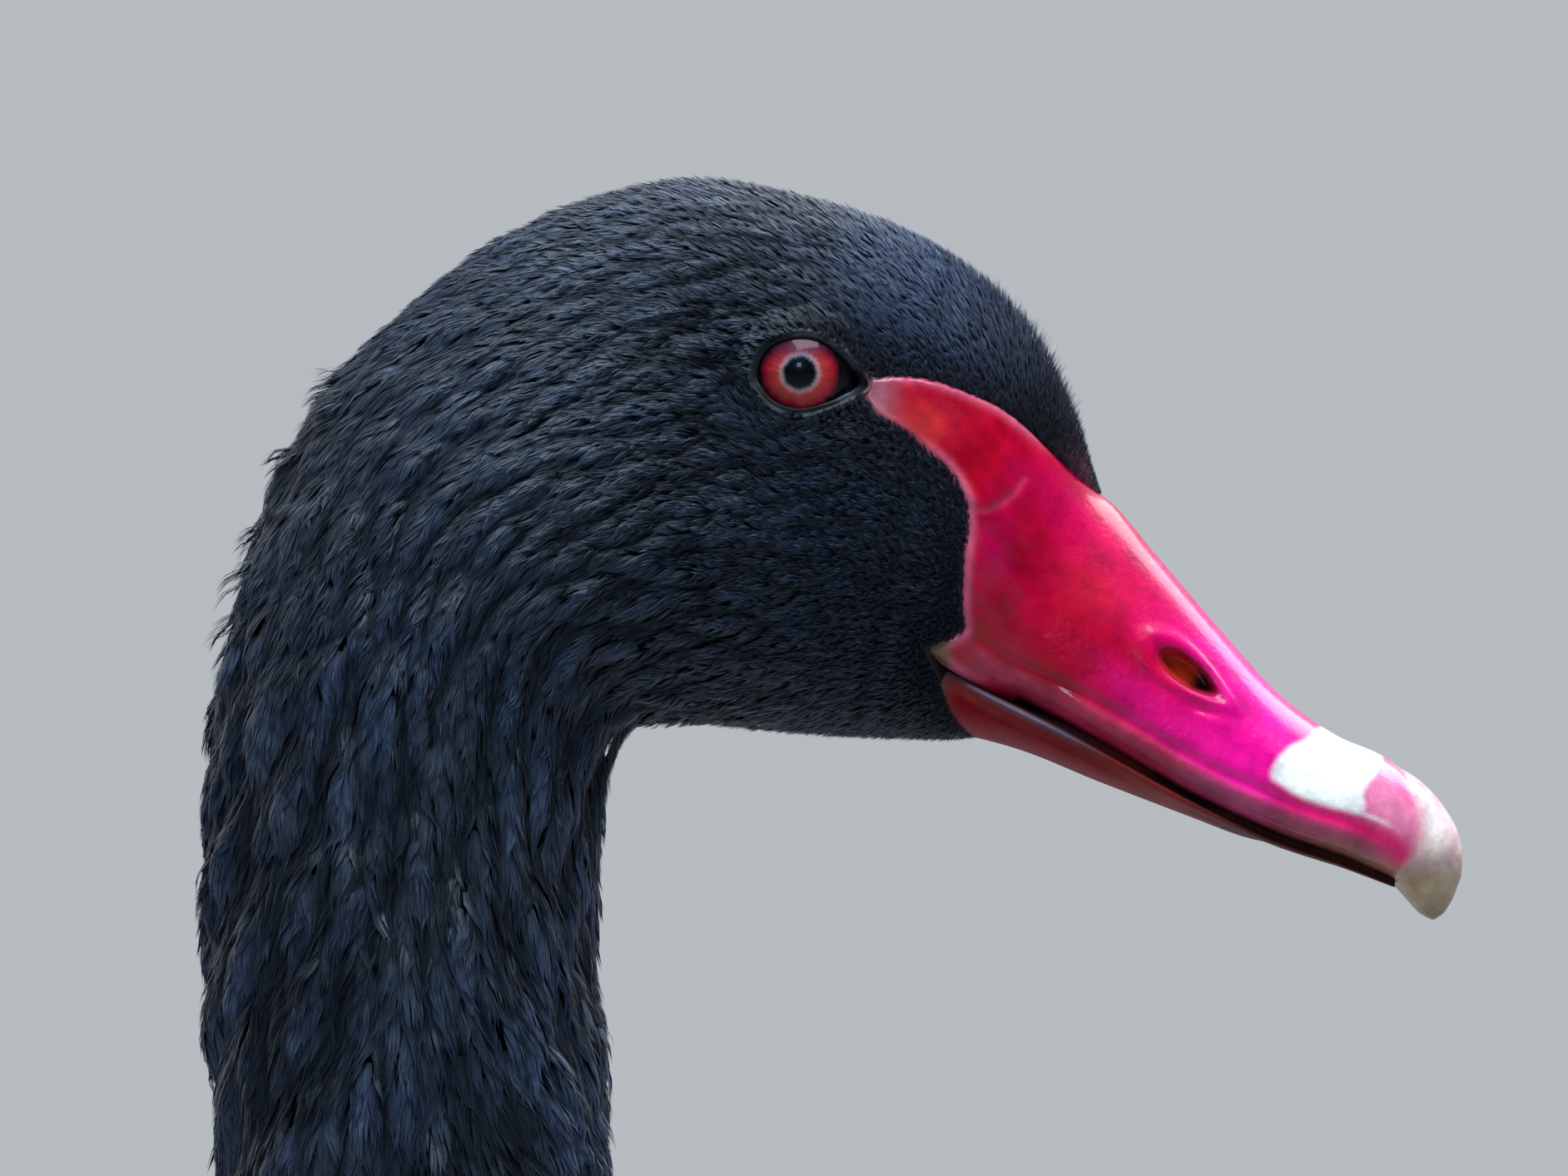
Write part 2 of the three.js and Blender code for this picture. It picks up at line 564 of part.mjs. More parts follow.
function addFoot(name, side) {
  const y = (side * LEG_SPACING) / 2;
  const place = (geometry, turn = 0) => {
    geometry.rotateZ(rad(-turn)).scale(1, -side, 1);
    return geometry.translate(FOOT_X, y, 0);
  };
  const web = new THREE.ExtrudeGeometry(webShape(), {
    depth: WEB_THICKNESS, bevelEnabled: false, curveSegments: 4,
  });
  let foot = toSolid(place(web));
  for (const toe of TOES) {
    const geometry = toeGeometry(MIDDLE_TOE * toe.length, TOE_HEIGHT, 3);
    foot = foot.add(toSolid(place(geometry, toe.turn)));
  }
  const hind = toeGeometry(MIDDLE_TOE * HIND_TOE.length, HIND_TOE_HEIGHT, 1);
  foot = foot.add(toSolid(place(hind, HIND_TOE.turn)));
  const instep = ringsToGeometry([
    levelRing([FOOT_X, y, 0], 12, 11, 10),
    levelRing([FOOT_X, y, 8], 12, 10.5, 10),
    levelRing([FOOT_X, y, INSTEP_HEIGHT], 9.4, 8.4, 10),
  ]);
  foot = foot.add(toSolid(instep));
  addPiece(`foot_${name}`, foot, SLATE);
  for (const toe of [...TOES, HIND_TOE]) {
    const claw = clawGeometry(toe === HIND_TOE ? HIND_CLAW : CLAW);
    claw.translate(MIDDLE_TOE * toe.length + GAP, 0, 0);
    addPiece(`claw_${name}_${toe.name}`, toSolid(place(claw, toe.turn)), BLACK, 0.4);
  }
}

function addLegs(trunkCut) {
  for (const [name, side] of [['right', -1], ['left', 1]]) {
    const y = (side * LEG_SPACING) / 2;
    addPiece(`shin_${name}`, toSolid(limb(SHIN, y, 14)).subtract(trunkCut).subtract(wingSolid(side, GAP)), BLACK);
    addPiece(`shank_${name}`, toSolid(limb(SHANK, y, 12)), SLATE);
    addFoot(name, side);
  }
}

const trunkCut = toSolid(trunkGeometry(GAP));
addHead();
addNeck();
addPiece('trunk', toSolid(trunkGeometry()), BLACK);
addWings(trunkCut);
addTail(trunkCut);
addLegs(trunkCut);

// The origin is on the floor, under the middle of the bird's length.
const box = new THREE.Box3().setFromObject(swan);
swan.position.x = -(box.min.x + box.max.x) / 2;

export default swan;
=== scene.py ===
"""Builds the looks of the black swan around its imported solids: skin, bill, eyes, claws and feathers."""

import math

import bpy
import numpy as np
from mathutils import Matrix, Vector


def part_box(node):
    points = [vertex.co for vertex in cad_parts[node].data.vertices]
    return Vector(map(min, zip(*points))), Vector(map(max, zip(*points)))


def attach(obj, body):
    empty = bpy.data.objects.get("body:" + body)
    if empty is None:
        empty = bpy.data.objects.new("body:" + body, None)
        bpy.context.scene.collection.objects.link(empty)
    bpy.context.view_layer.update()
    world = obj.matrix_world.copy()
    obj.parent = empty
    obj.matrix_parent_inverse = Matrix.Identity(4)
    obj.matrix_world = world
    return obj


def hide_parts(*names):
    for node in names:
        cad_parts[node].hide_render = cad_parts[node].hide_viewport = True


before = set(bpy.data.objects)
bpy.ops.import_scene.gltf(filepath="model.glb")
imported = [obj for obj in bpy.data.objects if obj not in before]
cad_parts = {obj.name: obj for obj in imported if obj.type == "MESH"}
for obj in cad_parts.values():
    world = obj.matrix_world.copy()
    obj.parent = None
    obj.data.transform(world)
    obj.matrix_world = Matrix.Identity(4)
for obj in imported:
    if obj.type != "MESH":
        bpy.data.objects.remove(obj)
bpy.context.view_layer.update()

# Lengths are in millimetres, and a point is (forward, left, up) from a place in the middle plane that is
# level with the eyes. The solids' eyes say where that place is in the shared frame.
eye_low, eye_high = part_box("eye_right")
EYE_PLACE = np.array([(eye_low.x + eye_high.x) / 2, 0.0, (eye_low.z + eye_high.z) / 2])
EYE_RADIUS = 8.0
EYE_SIDE = 14.6
MM = 0.001
FLOOR = -EYE_PLACE[2] / MM
RANDOM = np.random.default_rng(7)
SIDES = (("right", -1), ("left", 1))

# The feathered body as a tube from the bill's base to the tail. Each station has the back line's and the
# belly line's (forward, up), the half width, how far up it is widest, how square it is, the coat's depth,
# and the length and width of a tuft or feather there.
BODY = np.array([
    (39.1, -15.7, 25.5, -46.6, 13.2, 0.42, 1.0, 0.5, 1.6, 0.8),  # bill base
    (34.7, -3.2, 19, -47.4, 16.4, 0.42, 1.0, 0.8, 1.9, 0.8),  # wedge
    (30, 5.9, 14.5, -47.2, 18.4, 0.42, 1.0, 0.9, 2.2, 0.85),  # forehead
    (22, 13.9, 9, -47, 20.2, 0.42, 1.0, 0.9, 2.5, 0.9),  # brow
    (1.5, 22.8, -2, -46.2, 22.6, 0.42, 1.0, 1.0, 3.0, 1.0),  # eye
    (-17.3, 25, -10.5, -45.4, 24.2, 0.42, 1.0, 1.3, 3.6, 1.05),  # crown
    (-40, 17.2, -16.6, -45.6, 25.2, 0.44, 1.0, 1.9, 4.6, 1.15),  # occiput
    (-62.5, -2, -21.3, -47.2, 25.9, 0.48, 1.0, 2.6, 5.6, 1.25),  # nape
    (-74, -29, -24.2, -54, 26.2, 0.5, 1.0, 3.0, 6.2, 1.35),  # throat
    (-78.2, -60, -25.1, -68, 26, 0.5, 1.0, 3.2, 6.8, 1.45),  # neck top
    (-76, -104, -23.2, -104, 25.8, 0.5, 1.0, 3.5, 7.6, 1.6),  # upper neck
    (-69, -212, -14, -212, 27, 0.5, 1.0, 4.0, 8.6, 1.9),  # middle neck
    (-56, -330, 5, -326, 30, 0.5, 1.0, 5.0, 12.0, 3.0),  # lower neck
    (-62, -418, 24, -418, 41, 0.5, 1.0, 6.5, 17.0, 6.0),  # neck base
    (-92, -463, 36, -494, 60, 0.48, 1.0, 9.0, 24.0, 11.0),  # neck root
    (-138, -479, 36, -560, 80, 0.47, 0.97, 10.0, 28.0, 15.0),  # shoulder
    (-190, -482, 6, -640, 93, 0.47, 0.95, 11.0, 31.0, 18.0),  # breast
    (-245, -483, -70, -689, 98, 0.48, 0.94, 12.0, 34.0, 22.0),  # waist
    (-305, -487, -180, -704, 98, 0.48, 0.94, 12.0, 34.0, 22.0),  # belly
    (-362, -494, -296, -696, 91, 0.5, 0.94, 11.0, 33.0, 21.0),  # loin
    (-416, -507, -392, -667, 79, 0.52, 0.95, 10.0, 32.0, 20.0),  # hip
    (-464, -525, -458, -627, 65, 0.55, 0.96, 8.0, 30.0, 18.0),  # rump
    (-508, -543, -509, -599, 56, 0.5, 0.97, 6.0, 30.0, 16.0),  # tail root
    (-552, -560, -552, -584, 52, 0.4, 1.0, 4.0, 30.0, 15.0),  # tail coverts
])
COAT_VALUES = 7  # where a station's values for the coat start
NAPE, NECK_TOP, UPPER_NECK, NECK_ROOT, WAIST, LOIN, RUMP, COVERTS = 7, 9, 10, 14, 17, 19, 21, 23

UPPER_BILL = np.array([
    (31, -9.5, 17.5, -36, 14.4, 0.3, 0.95),  # inside the head
    (39.3, -15.6, 22.5, -39.4, 15, 0.26, 0.93),  # base
    (46, -23.2, 31.5, -44.1, 14.8, 0.2, 0.9),  # bridge
    (54.5, -33.1, 41.5, -49.6, 14.4, 0.2, 0.86),  # nostril
    (62, -41.3, 51, -54.9, 14.2, 0.24, 0.84),  # dip
    (69.3, -46.6, 61.3, -59.6, 13.6, 0.3, 0.86),  # band
    (76.2, -49.8, 70.6, -63, 11.6, 0.36, 0.9),  # nail root
    (82.6, -55, 76.2, -65.6, 8.3, 0.42, 0.95),  # nail
    (85.6, -61.6, 79, -68.6, 4.8, 0.45, 1.0),  # hook
    (84.8, -66.9, 80.4, -69.9, 2.0, 0.5, 1.0),  # point
    (83.2, -69.6, 81.8, -70.5, 0.8, 0.5, 1.0),  # tip
])

LOWER_BILL = np.array([
    (13.5, -34.2, 18, -45.8, 12.4, 0.7, 0.9),  # jaw
    (22.3, -39, 28, -48.4, 13, 0.7, 0.88),  # gape
    (34, -45.1, 38.5, -52.6, 12.9, 0.7, 0.86),  # ramus
    (47, -52.6, 51, -57.4, 12.6, 0.7, 0.86),  # middle
    (60.3, -59.3, 62, -61.6, 11.2, 0.6, 0.9),  # front
    (69.8, -62.6, 70.2, -64.2, 9, 0.5, 1.0),  # lip
    (76.6, -65.4, 76.8, -66.6, 5, 0.5, 1.0),  # end
])

# Lines seen from the side, as (forward, up). The bare skin in front of the eye lies between the brow line
# and the cheek line, and the mandible line is where feathers meet the lower bill.
BROW_LINE = [(7.6, -1.0), (12.3, -0.6), (15.8, -0.8), (19.1, -1.8), (23.2, -3.3), (27, -5.4), (30.6, -8.5),
             (33.3, -11.3), (35.8, -13.8), (38.4, -15.8), (40.2, -16.9)]
CHEEK_LINE = [(19.2, -34.6), (21.4, -33.2), (21.2, -30.2), (21.5, -24), (22, -19.8), (21.6, -16),
              (19.8, -12.6), (17, -9.9), (13.4, -7), (10.2, -5), (7.6, -1.0)]
MANDIBLE_LINE = [(16.5, -35.2), (17.2, -37.4), (19, -41), (22, -45), (27, -48.6)]
BILL_EDGE_LINE = [(17.4, -35.8), (19.7, -37.5), (23.8, -40.2), (29.2, -43), (34.7, -45.7), (40.2, -48.7),
                  (45.7, -52), (51.2, -55), (56, -57.2), (63, -60.2), (70.6, -62.6), (76.2, -65.4)]
NAIL_LINE = [(74.4, -46.5), (78.4, -52), (79.9, -57), (79.2, -62), (75.5, -67)]
BAND_EDGE = [(60.7, -52), (61.3, -50), (63, -48.2), (65.4, -46.9), (67.8, -45.3), (72, -46), (75.2, -48.8),
             (74.2, -51.2), (72.7, -53.6), (72.2, -56.3), (69, -55.9), (65.4, -54.8), (62.6, -53.3)]
ROSY_PATCH = [(72.2, -50.5), (76, -50.3), (79.5, -56), (79.8, -61.5), (76.5, -58.8), (71.8, -56.5)]
WHITE_LINE = [(71.6, -56.3), (74.5, -57.4), (76.9, -58.6), (78.4, -60)]
CREASE = [(20.5, -17.2), (24, -17.6), (27, -16), (29, -13.6)]
EYE_OPENING = [(-5.5, -0.4), (-4.9, 2.1), (-3.2, 3.8), (-0.3, 4.5), (2.3, 4.2), (4.6, 2.8), (6.6, 0.6),
               (7.8, -1.5), (5.4, -3.0), (3.4, -3.8), (0, -4.55), (-2.8, -3.85), (-4.5, -2.4)]
BILL_ROOT = [(39, -15.5), (22, -39)]
NOSTRIL = (49.9, -38.5)
BILL_SLOPE = -38.0  # degrees
FAR_IN_FRONT = [(43, -8), (60, -8), (100, -50), (100, -90)]

# The legs. Each station of a limb is how far above the floor and how far forward of the toes' root it is,
# and its half sizes forward and sideways. Toes are (turn outwards in degrees, length, height at their root
# and at their tip).
FOOT_X = -243.0
LEG_SIDE = 54.0
SHIN = np.array([(290, 20, 44, 12), (220, 4, 42, 20), (182, -8, 32, 20), (150, -18, 20, 15),
                 (122, -24, 11.5, 10.5), (104, -26, 9.5, 8.5)])
SHANK = np.array([(112, -26, 8.6, 7.4), (104, -26, 9.2, 7.6), (92, -25, 9.6, 7.8), (78, -20, 7.4, 5.8),
                  (50, -10, 6.4, 4.9), (28, -3, 7, 5.8), (12, 0, 9, 8), (0, 0, 11, 10)])
TOES = {"inner": (-24, 96.3, 11, 6), "middle": (2, 112, 11, 6), "outer": (27, 107.5, 11, 6),
        "hind": (165, 22.4, 9, 4.5)}
WEB_SHARE = 0.96  # of a toe's length, up to which the web runs
WEB_HOLLOW = 0.16
WEB_THICKNESS = 2.4
SHIN_INSET = 2.6  # how far the skin of a shin lies inside its solid
TOE_RINGS, TOE_SIDES = 30, 20
WEB_ROWS, WEB_COLUMNS = 40, 61
SHANK_SIDES, SHIN_SIDES = 32, 64
CLAW_RINGS = 14

WING_FROM = NECK_ROOT + 0.55
WING_TO = RUMP + 0.3
WING_THICKNESS = 24.0
TERTIALS_FROM = WAIST + 0.4
TERTIALS_TO = RUMP + 0.75


def smoothstep(low, high, x):
    t = np.clip((x - low) / (high - low), 0.0, 1.0)
    return t * t * (3.0 - 2.0 * t)


def smooth_curve(points, steps, closed=False):
    """Points along a smooth curve through some points, steps to each span."""
    p = np.array(points, float)
    if closed:
        p = np.concatenate([p[-1:], p, p[:2]])
    else:
        p = np.concatenate([2 * p[:1] - p[1:2], p, 2 * p[-1:] - p[-2:-1]])
    t = (np.arange(steps) / steps)[:, None]
    spans = []
    for a, b, c, d in zip(p[:-3], p[1:-2], p[2:-1], p[3:]):
        spans.append(b + 0.5 * t * (c - a + t * (2 * a - 5 * b + 4 * c - d + t * (3 * (b - c) + d - a))))
    if not closed:
        spans.append(p[-2:-1])
    return np.concatenate(spans)


def distance_to_line(x, z, line):
    """How far each point of the side view is from a line of points."""
    best = np.full(x.shape, 1e9)
    for (ax, az), (bx, bz) in zip(line[:-1], line[1:]):
        dx, dz = bx - ax, bz - az
        t = np.clip(((x - ax) * dx + (z - az) * dz) / (dx * dx + dz * dz + 1e-12), 0, 1)
        best = np.minimum(best, np.hypot(x - ax - t * dx, z - az - t * dz))
    return best


def signed_distance(x, z, outline):
    """Distance to a closed outline of the side view, negative inside it."""
    within = np.zeros(x.shape, bool)
    for (ax, az), (bx, bz) in zip(outline, np.roll(outline, -1, axis=0)):
        crosses = (az > z) != (bz > z)
        if az != bz:
            within ^= crosses & (x < (bx - ax) * (z - az) / (bz - az) + ax)
    distance = distance_to_line(x, z, np.concatenate([outline, outline[:1]]))
    return np.where(within, -distance, distance)


def bell(x, centre, width):
    """A smooth rise to 1 at a centre and down to 0 on both sides."""
    return np.exp(-((x - centre) / width) ** 2)


def turned_view(x, z, centre, degrees):
    """Places of the side view from a centre, along and across a direction."""
    c, s = math.cos(math.radians(degrees)), math.sin(math.radians(degrees))
    return (x - centre[0]) * c + (z - centre[1]) * s, -(x - centre[0]) * s + (z - centre[1]) * c


def bump(x, z, centre, size, turn=0.0):
    """A rounded bump of height 1 at a place of the side view, with two sizes and a turn in degrees."""
    a, b = turned_view(x, z, centre, turn)
    a, b = a / size[0], b / size[1]
    return np.exp(-a * a - b * b)


def varied(least, spread, shape):
    """Even random numbers from a least one up."""
    return least + spread * RANDOM.random(shape)


def scatter(spread, shape):
    """Random numbers on both sides of 0."""
    return spread * RANDOM.standard_normal(shape)


def waves(x, y, seed):
    """A smooth uneven pattern between about -1 and 1."""
    a, b, c = 1.3 * seed, 2.1 * seed, 3.7 * seed
    bent = np.sin(x + a + 1.7 * np.sin(0.6 * y + b))
    crossed = np.sin(0.8 * y - 0.5 * x + c + 1.3 * np.sin(0.9 * x + a))
    return (bent + crossed + 0.5 * np.sin(2.3 * x + 1.9 * y + b)) / 2.5


class Loft:
    """A tube through stations. A place u along it is 0 at the first station, 1 at the next, and so on."""

    def __init__(self, stations):
        self.rows = stations
        middle = (stations[:, 0:2] + stations[:, 2:4]) / 2
        self.chord = np.linalg.norm(np.diff(middle, axis=0), axis=1)
        rise = np.diff(stations, axis=0) / self.chord[:, None]
        before, after = self.chord[:-1, None], self.chord[1:, None]
        inner = (rise[:-1] * after + rise[1:] * before) / (before + after)
        self.slope = np.concatenate([rise[:1], inner, rise[-1:]])

    def values(self, u):
        """The stations' values at some places, smoothly between them."""
        u = np.asarray(u, float)
        i = np.clip(np.floor(u).astype(int), 0, len(self.rows) - 2)
        s = (u - i)[..., None]
        h = self.chord[i][..., None]
        s2, s3 = s * s, s * s * s
        return ((2 * s3 - 3 * s2 + 1) * self.rows[i] + (3 * s2 - 2 * s3) * self.rows[i + 1]
                + (s3 - 2 * s2 + s) * h * self.slope[i] + (s3 - s2) * h * self.slope[i + 1])

    def at(self, u, angle, out=0.0):
        """Points at places u and angles from the back line, where a right angle is the bird's left."""
        v = self.values(u)
        top, bottom = v[..., 0:2], v[..., 2:4]
        height = np.linalg.norm(top - bottom, axis=-1)
        up = (top - bottom) / height[..., None]
        side, low, power = v[..., 4], v[..., 5], v[..., 6]
        cosine, sine = np.cos(angle), np.sin(angle)
        cosine = np.sign(cosine) * np.abs(cosine) ** power
        sine = np.sign(sine) * np.abs(sine) ** power
        reach = np.where(cosine > 0, 1 - low, low) * height + out
        along = low * height + reach * cosine
        x = bottom[..., 0] + up[..., 0] * along
        z = bottom[..., 1] + up[..., 1] * along
        return triple(x, (side + out) * sine, z)

    def places(self, start, end, step):
        """Places from start to end, about step(u) apart at place u."""
        found = [start]
        while found[-1] < end:
            chord = self.chord[min(int(found[-1]), len(self.chord) - 1)]
            found.append(found[-1] + step(found[-1]) / chord)
        found = np.array(found)
        return start + (found - start) * (end - start) / (found[-1] - start)


def triple(x, y, z):
    """Three measures as one array of triples."""
    return np.stack(np.broadcast_arrays(x, y, z), axis=-1)


def side_view(points):
    return points[..., 0], points[..., 2]


def round_the_clock(count):
    return np.arange(count) * 2 * np.pi / count


def tube_part(loft, step, sides, out=0.0, start=0.0, end=None):
    """A closed tube as points and faces."""
    end = len(loft.rows) - 1.0 if end is None else end
    u = loft.places(start, end, lambda _: step)
    return round_part(loft.at(u[:, None], round_the_clock(sides)[None, :], out))


def ring_faces(rings, sides, closed_ends=True):
    """Quads between rings of points, and the two ends as polygons."""
    r = np.arange(rings - 1)[:, None] * sides
    k = np.arange(sides)
    n = (k + 1) % sides
    quads = np.stack([r + k, r + n, r + n + sides, r + k + sides], axis=-1).reshape(-1, 4)
    if not closed_ends:
        return [quads]
    last = (rings - 1) * sides
    return [quads, k[None, ::-1], (last + k)[None]]


def round_part(rings):
    """A closed part from rings of points."""
    return rings.reshape(-1, 3), ring_faces(*rings.shape[:2])


def sheet_faces(rows, columns):
    """Quads of an open sheet with some rows and columns of points."""
    r = np.arange(rows - 1)[:, None] * columns
    k = np.arange(columns - 1)
    return np.stack([r + k, r + k + 1, r + k + 1 + columns, r + k + columns], axis=-1).reshape(-1, 4)


def slab_faces(rows, columns):
    """Quads of a closed slab: the points of its upper sheet come first, then those of its lower sheet."""
    top = sheet_faces(rows, columns)
    count = rows * columns
    grid = np.arange(count).reshape(rows, columns)
    rim = np.concatenate([grid[0, :-1], grid[:-1, -1], grid[-1, :0:-1], grid[:0:-1, 0]])
    after = np.roll(rim, -1)
    wall = np.stack([rim, rim + count, after + count, after], axis=-1)
    return np.concatenate([top, top[:, ::-1] + count, wall])


def repeated(faces, count, each):
    """The faces of a pattern with so many points each, for a count of copies."""
    return (faces[None] + each * np.arange(count)[:, None, None]).reshape(-1, faces.shape[1])


def add_object(name, data):
    obj = bpy.data.objects.new(name, data)
    bpy.context.scene.collection.objects.link(obj)
    return obj


def make_mesh(name, points, faces, smooth=True):
    """An object from points and an array, or several arrays, of faces with as many corners each."""
    groups = [np.asarray(f) for f in (faces if isinstance(faces, list) else [faces]) if len(f)]
    corners = np.concatenate([g.ravel() for g in groups]).astype(np.int32)
    sizes = np.concatenate([np.full(len(g), g.shape[1]) for g in groups])
    starts = np.concatenate([[0], np.cumsum(sizes)[:-1]]).astype(np.int32)
    mesh = bpy.data.meshes.new(name)
    mesh.vertices.add(len(points))
    world = np.asarray(points, float).reshape(-1, 3) * MM + EYE_PLACE
    mesh.vertices.foreach_set("co", world.astype(np.float32).ravel())
    mesh.loops.add(len(corners))
    mesh.loops.foreach_set("vertex_index", corners)
    mesh.polygons.add(len(sizes))
    mesh.polygons.foreach_set("loop_start", starts)
    mesh.polygons.foreach_set("use_smooth", np.full(len(sizes), smooth))
    mesh.update(calc_edges=True)
    return add_object(name, mesh)


def joined(parts):
    """Several (points, face arrays) parts as one, with their face arrays in one list."""
    points, faces, offset = [], [], 0
    for part_points, part_faces in parts:
        points.append(part_points)
        faces += [f + offset for f in (part_faces if isinstance(part_faces, list) else [part_faces])]
        offset += len(part_points)
    return np.concatenate(points), faces


def paint(obj, name, values):
    """Stores a number or a triple for each point, for the piece's material to read."""
    values = np.asarray(values, np.float32)
    single = values.ndim == 1
    attribute = obj.data.attributes.new(name, "FLOAT" if single else "FLOAT_VECTOR", "POINT")
    attribute.data.foreach_set("value" if single else "vector", values.ravel())


def finish_piece(obj, material, slot, *nodes):
    obj.data.materials.append(material)
    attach(obj, "root")
    if nodes:
        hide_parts(*nodes)


def pulled(items, key, width, kind):
    """A value of some width from each of Blender's items, as an array."""
    values = np.empty(len(items) * width, kind)
    items.foreach_get(key, values)
    return values.reshape(-1, width)


def merge_solids(parts, voxel=None):
    """The union of closed (points, faces) parts, as points, triangles and edges, evened out if asked."""
    objects = []
    for points, faces in parts:
        obj = make_mesh("part", points, faces)
        obj.data.vertices.foreach_set("co", np.asarray(points, np.float32).ravel())
        objects.append(obj)
    first = objects[0]
    for other in objects[1:]:
        join = first.modifiers.new("join", "BOOLEAN")
        join.operation = "UNION"
        join.solver = "MANIFOLD"
        join.object = other
    if voxel:
        even = first.modifiers.new("even", "REMESH")
        even.mode = "VOXEL"
        even.voxel_size = voxel
    evaluated = first.evaluated_get(bpy.context.evaluated_depsgraph_get())
    mesh = evaluated.to_mesh()
    mesh.calc_loop_triangles()
    merged = pulled(mesh.vertices, "co", 3, np.float32).astype(float)
    triangles = pulled(mesh.loop_triangles, "vertices", 3, np.int32)
    edges = pulled(mesh.edges, "vertices", 2, np.int32)
    evaluated.to_mesh_clear()
    for obj in objects:
        data = obj.data
        bpy.data.objects.remove(obj)
        bpy.data.meshes.remove(data)
    return merged, triangles, edges


def relax(points, edges, rounds, where=1.0, steps=(0.6, -0.62)):
    """Smooths a surface and swells it back in turns, so that it doesn't shrink, or only smooths it."""
    a, b = edges[:, 0], edges[:, 1]
    count = np.maximum(np.bincount(a, minlength=len(points)) + np.bincount(b, minlength=len(points)), 1)
    for turn in range(len(steps) * rounds):
        mean = [np.bincount(a, points[b, i], len(points)) + np.bincount(b, points[a, i], len(points))
                for i in range(3)]
        step = np.stack(mean, axis=1) / count[:, None] - points
        points = points + step * where * steps[turn % len(steps)]
    return points


def point_normals(points, triangles):
    p = points[triangles]
    n = np.cross(p[:, 1] - p[:, 0], p[:, 2] - p[:, 0])
    total = np.zeros_like(points)
    for corner in range(3):
        for axis in range(3):
            total[:, axis] += np.bincount(triangles[:, corner], n[:, axis], len(points))
    return total / np.maximum(np.linalg.norm(total, axis=1, keepdims=True), 1e-12)


def only(points, keep, *indices):
    """Which points the kept first indices use, and every set of indices among those points alone."""
    used = np.unique(indices[0][keep])
    number = np.full(len(points), -1)
    number[used] = np.arange(len(used))
    found = [number[indices[0][keep]]]
    for others in indices[1:]:
        others = number[others]
        found.append(others[(others >= 0).all(axis=1)])
    return used, *found


TUBE = Loft(BODY)
TOMIUM = smooth_curve(BILL_EDGE_LINE, 4)
BROW = np.concatenate([smooth_curve(BROW_LINE, 5), FAR_IN_FRONT])
CHEEK = smooth_curve(CHEEK_LINE, 5)
BARE = np.concatenate([BROW, TOMIUM[::-1], CHEEK])
FEATHERLESS = np.concatenate([BROW, smooth_curve(MANDIBLE_LINE, 4)[::-1], CHEEK])
OPENING = smooth_curve(EYE_OPENING, 6, closed=True)


def round_rise(s, part):
    return np.sqrt(1 - (1 - np.minimum(s / part, 1)) ** 2)


def wing_edges(u):
    """The folded wing's upper and lower edge, as angles from the back line."""
    s = np.clip((u - WING_FROM) / (WING_TO - WING_FROM), 0, 1)
    upper = np.radians(72 - 65 * round_rise(s, 0.5))
    lower = np.radians(78 + 34 * round_rise(s, 0.25) - 40 * smoothstep(0.5, 1, s))
    return upper, lower


def from_back(angle):
    """How far an angle is from the back line, on either side."""
    return np.abs((np.asarray(angle) + np.pi) % (2 * np.pi) - np.pi)


def wing_height(u, angle):
    """How far the folded wing stands out from the trunk, on either side."""
    place = (u - WING_FROM) / (WING_TO - WING_FROM)
    s = np.clip(place, 0, 1)
    upper, lower = wing_edges(u)
    q = (from_back(angle) - upper) / np.maximum(lower - upper, 1e-6)
    swell = 1 - np.abs(np.clip(2 * q - 1, -1, 1)) ** 3
    lengthwise = smoothstep(0, 0.22, s) * (1 - 0.65 * smoothstep(0.45, 1, s))
    over = (place > 0) & (place < 1) & (q > 0) & (q < 1)
    return np.where(over, 1.2 + WING_THICKNESS * swell * (0.12 + 0.88 * lengthwise), 0.0)


def tertial_edge(u):
    """The lower edge of the ruffled feathers on the back, as an angle from the back line."""
    s = np.clip((u - TERTIALS_FROM) / (TERTIALS_TO - TERTIALS_FROM), 0, 1.1)
    return np.radians(66 - 34 * s * s)


def face_shape(x, z):
    """Small forms of the head under its coat, as a move outwards at a place of the side view."""
    return (0.8 * bump(x, z, (-1, 9), (9, 3)) - 1.2 * bump(x, z, (-9.8, 0.4), (3.2, 1.6))
            + 0.8 * bump(x, z, (-6, -24), (15, 9)) - 0.5 * bump(x, z, (15, -12), (6, 5))
            + 0.5 * bump(x, z, (0, -8), (7, 2.5)) - 0.5 * bump(x, z, (-24, 4), (9, 6)))


def eyeball_side(away, margin=0.0, least=0.0):
    """How far out the eyeball's surface is, with a margin round it, so far from its middle."""
    return EYE_SIDE + np.sqrt(np.maximum((EYE_RADIUS + margin) ** 2 - away ** 2, least))


# The columns of what a surface gives at a place, after the point and its normal: the steps of its grid
# along and across, the place on the tube, the coat's depth, a feather's length and width, and the relief.
ALONG, ACROSS, PLACE, DEPTH, LENGTH, WIDTH, RELIEF = 6, 7, 8, 9, 10, 11, 12
SPREAD = (0.7548776662466927, 0.5698402909980532)  # steps of an even spread of points over a square
ROOTS_AT_ONCE = 20000
BODY_SIDES = 240


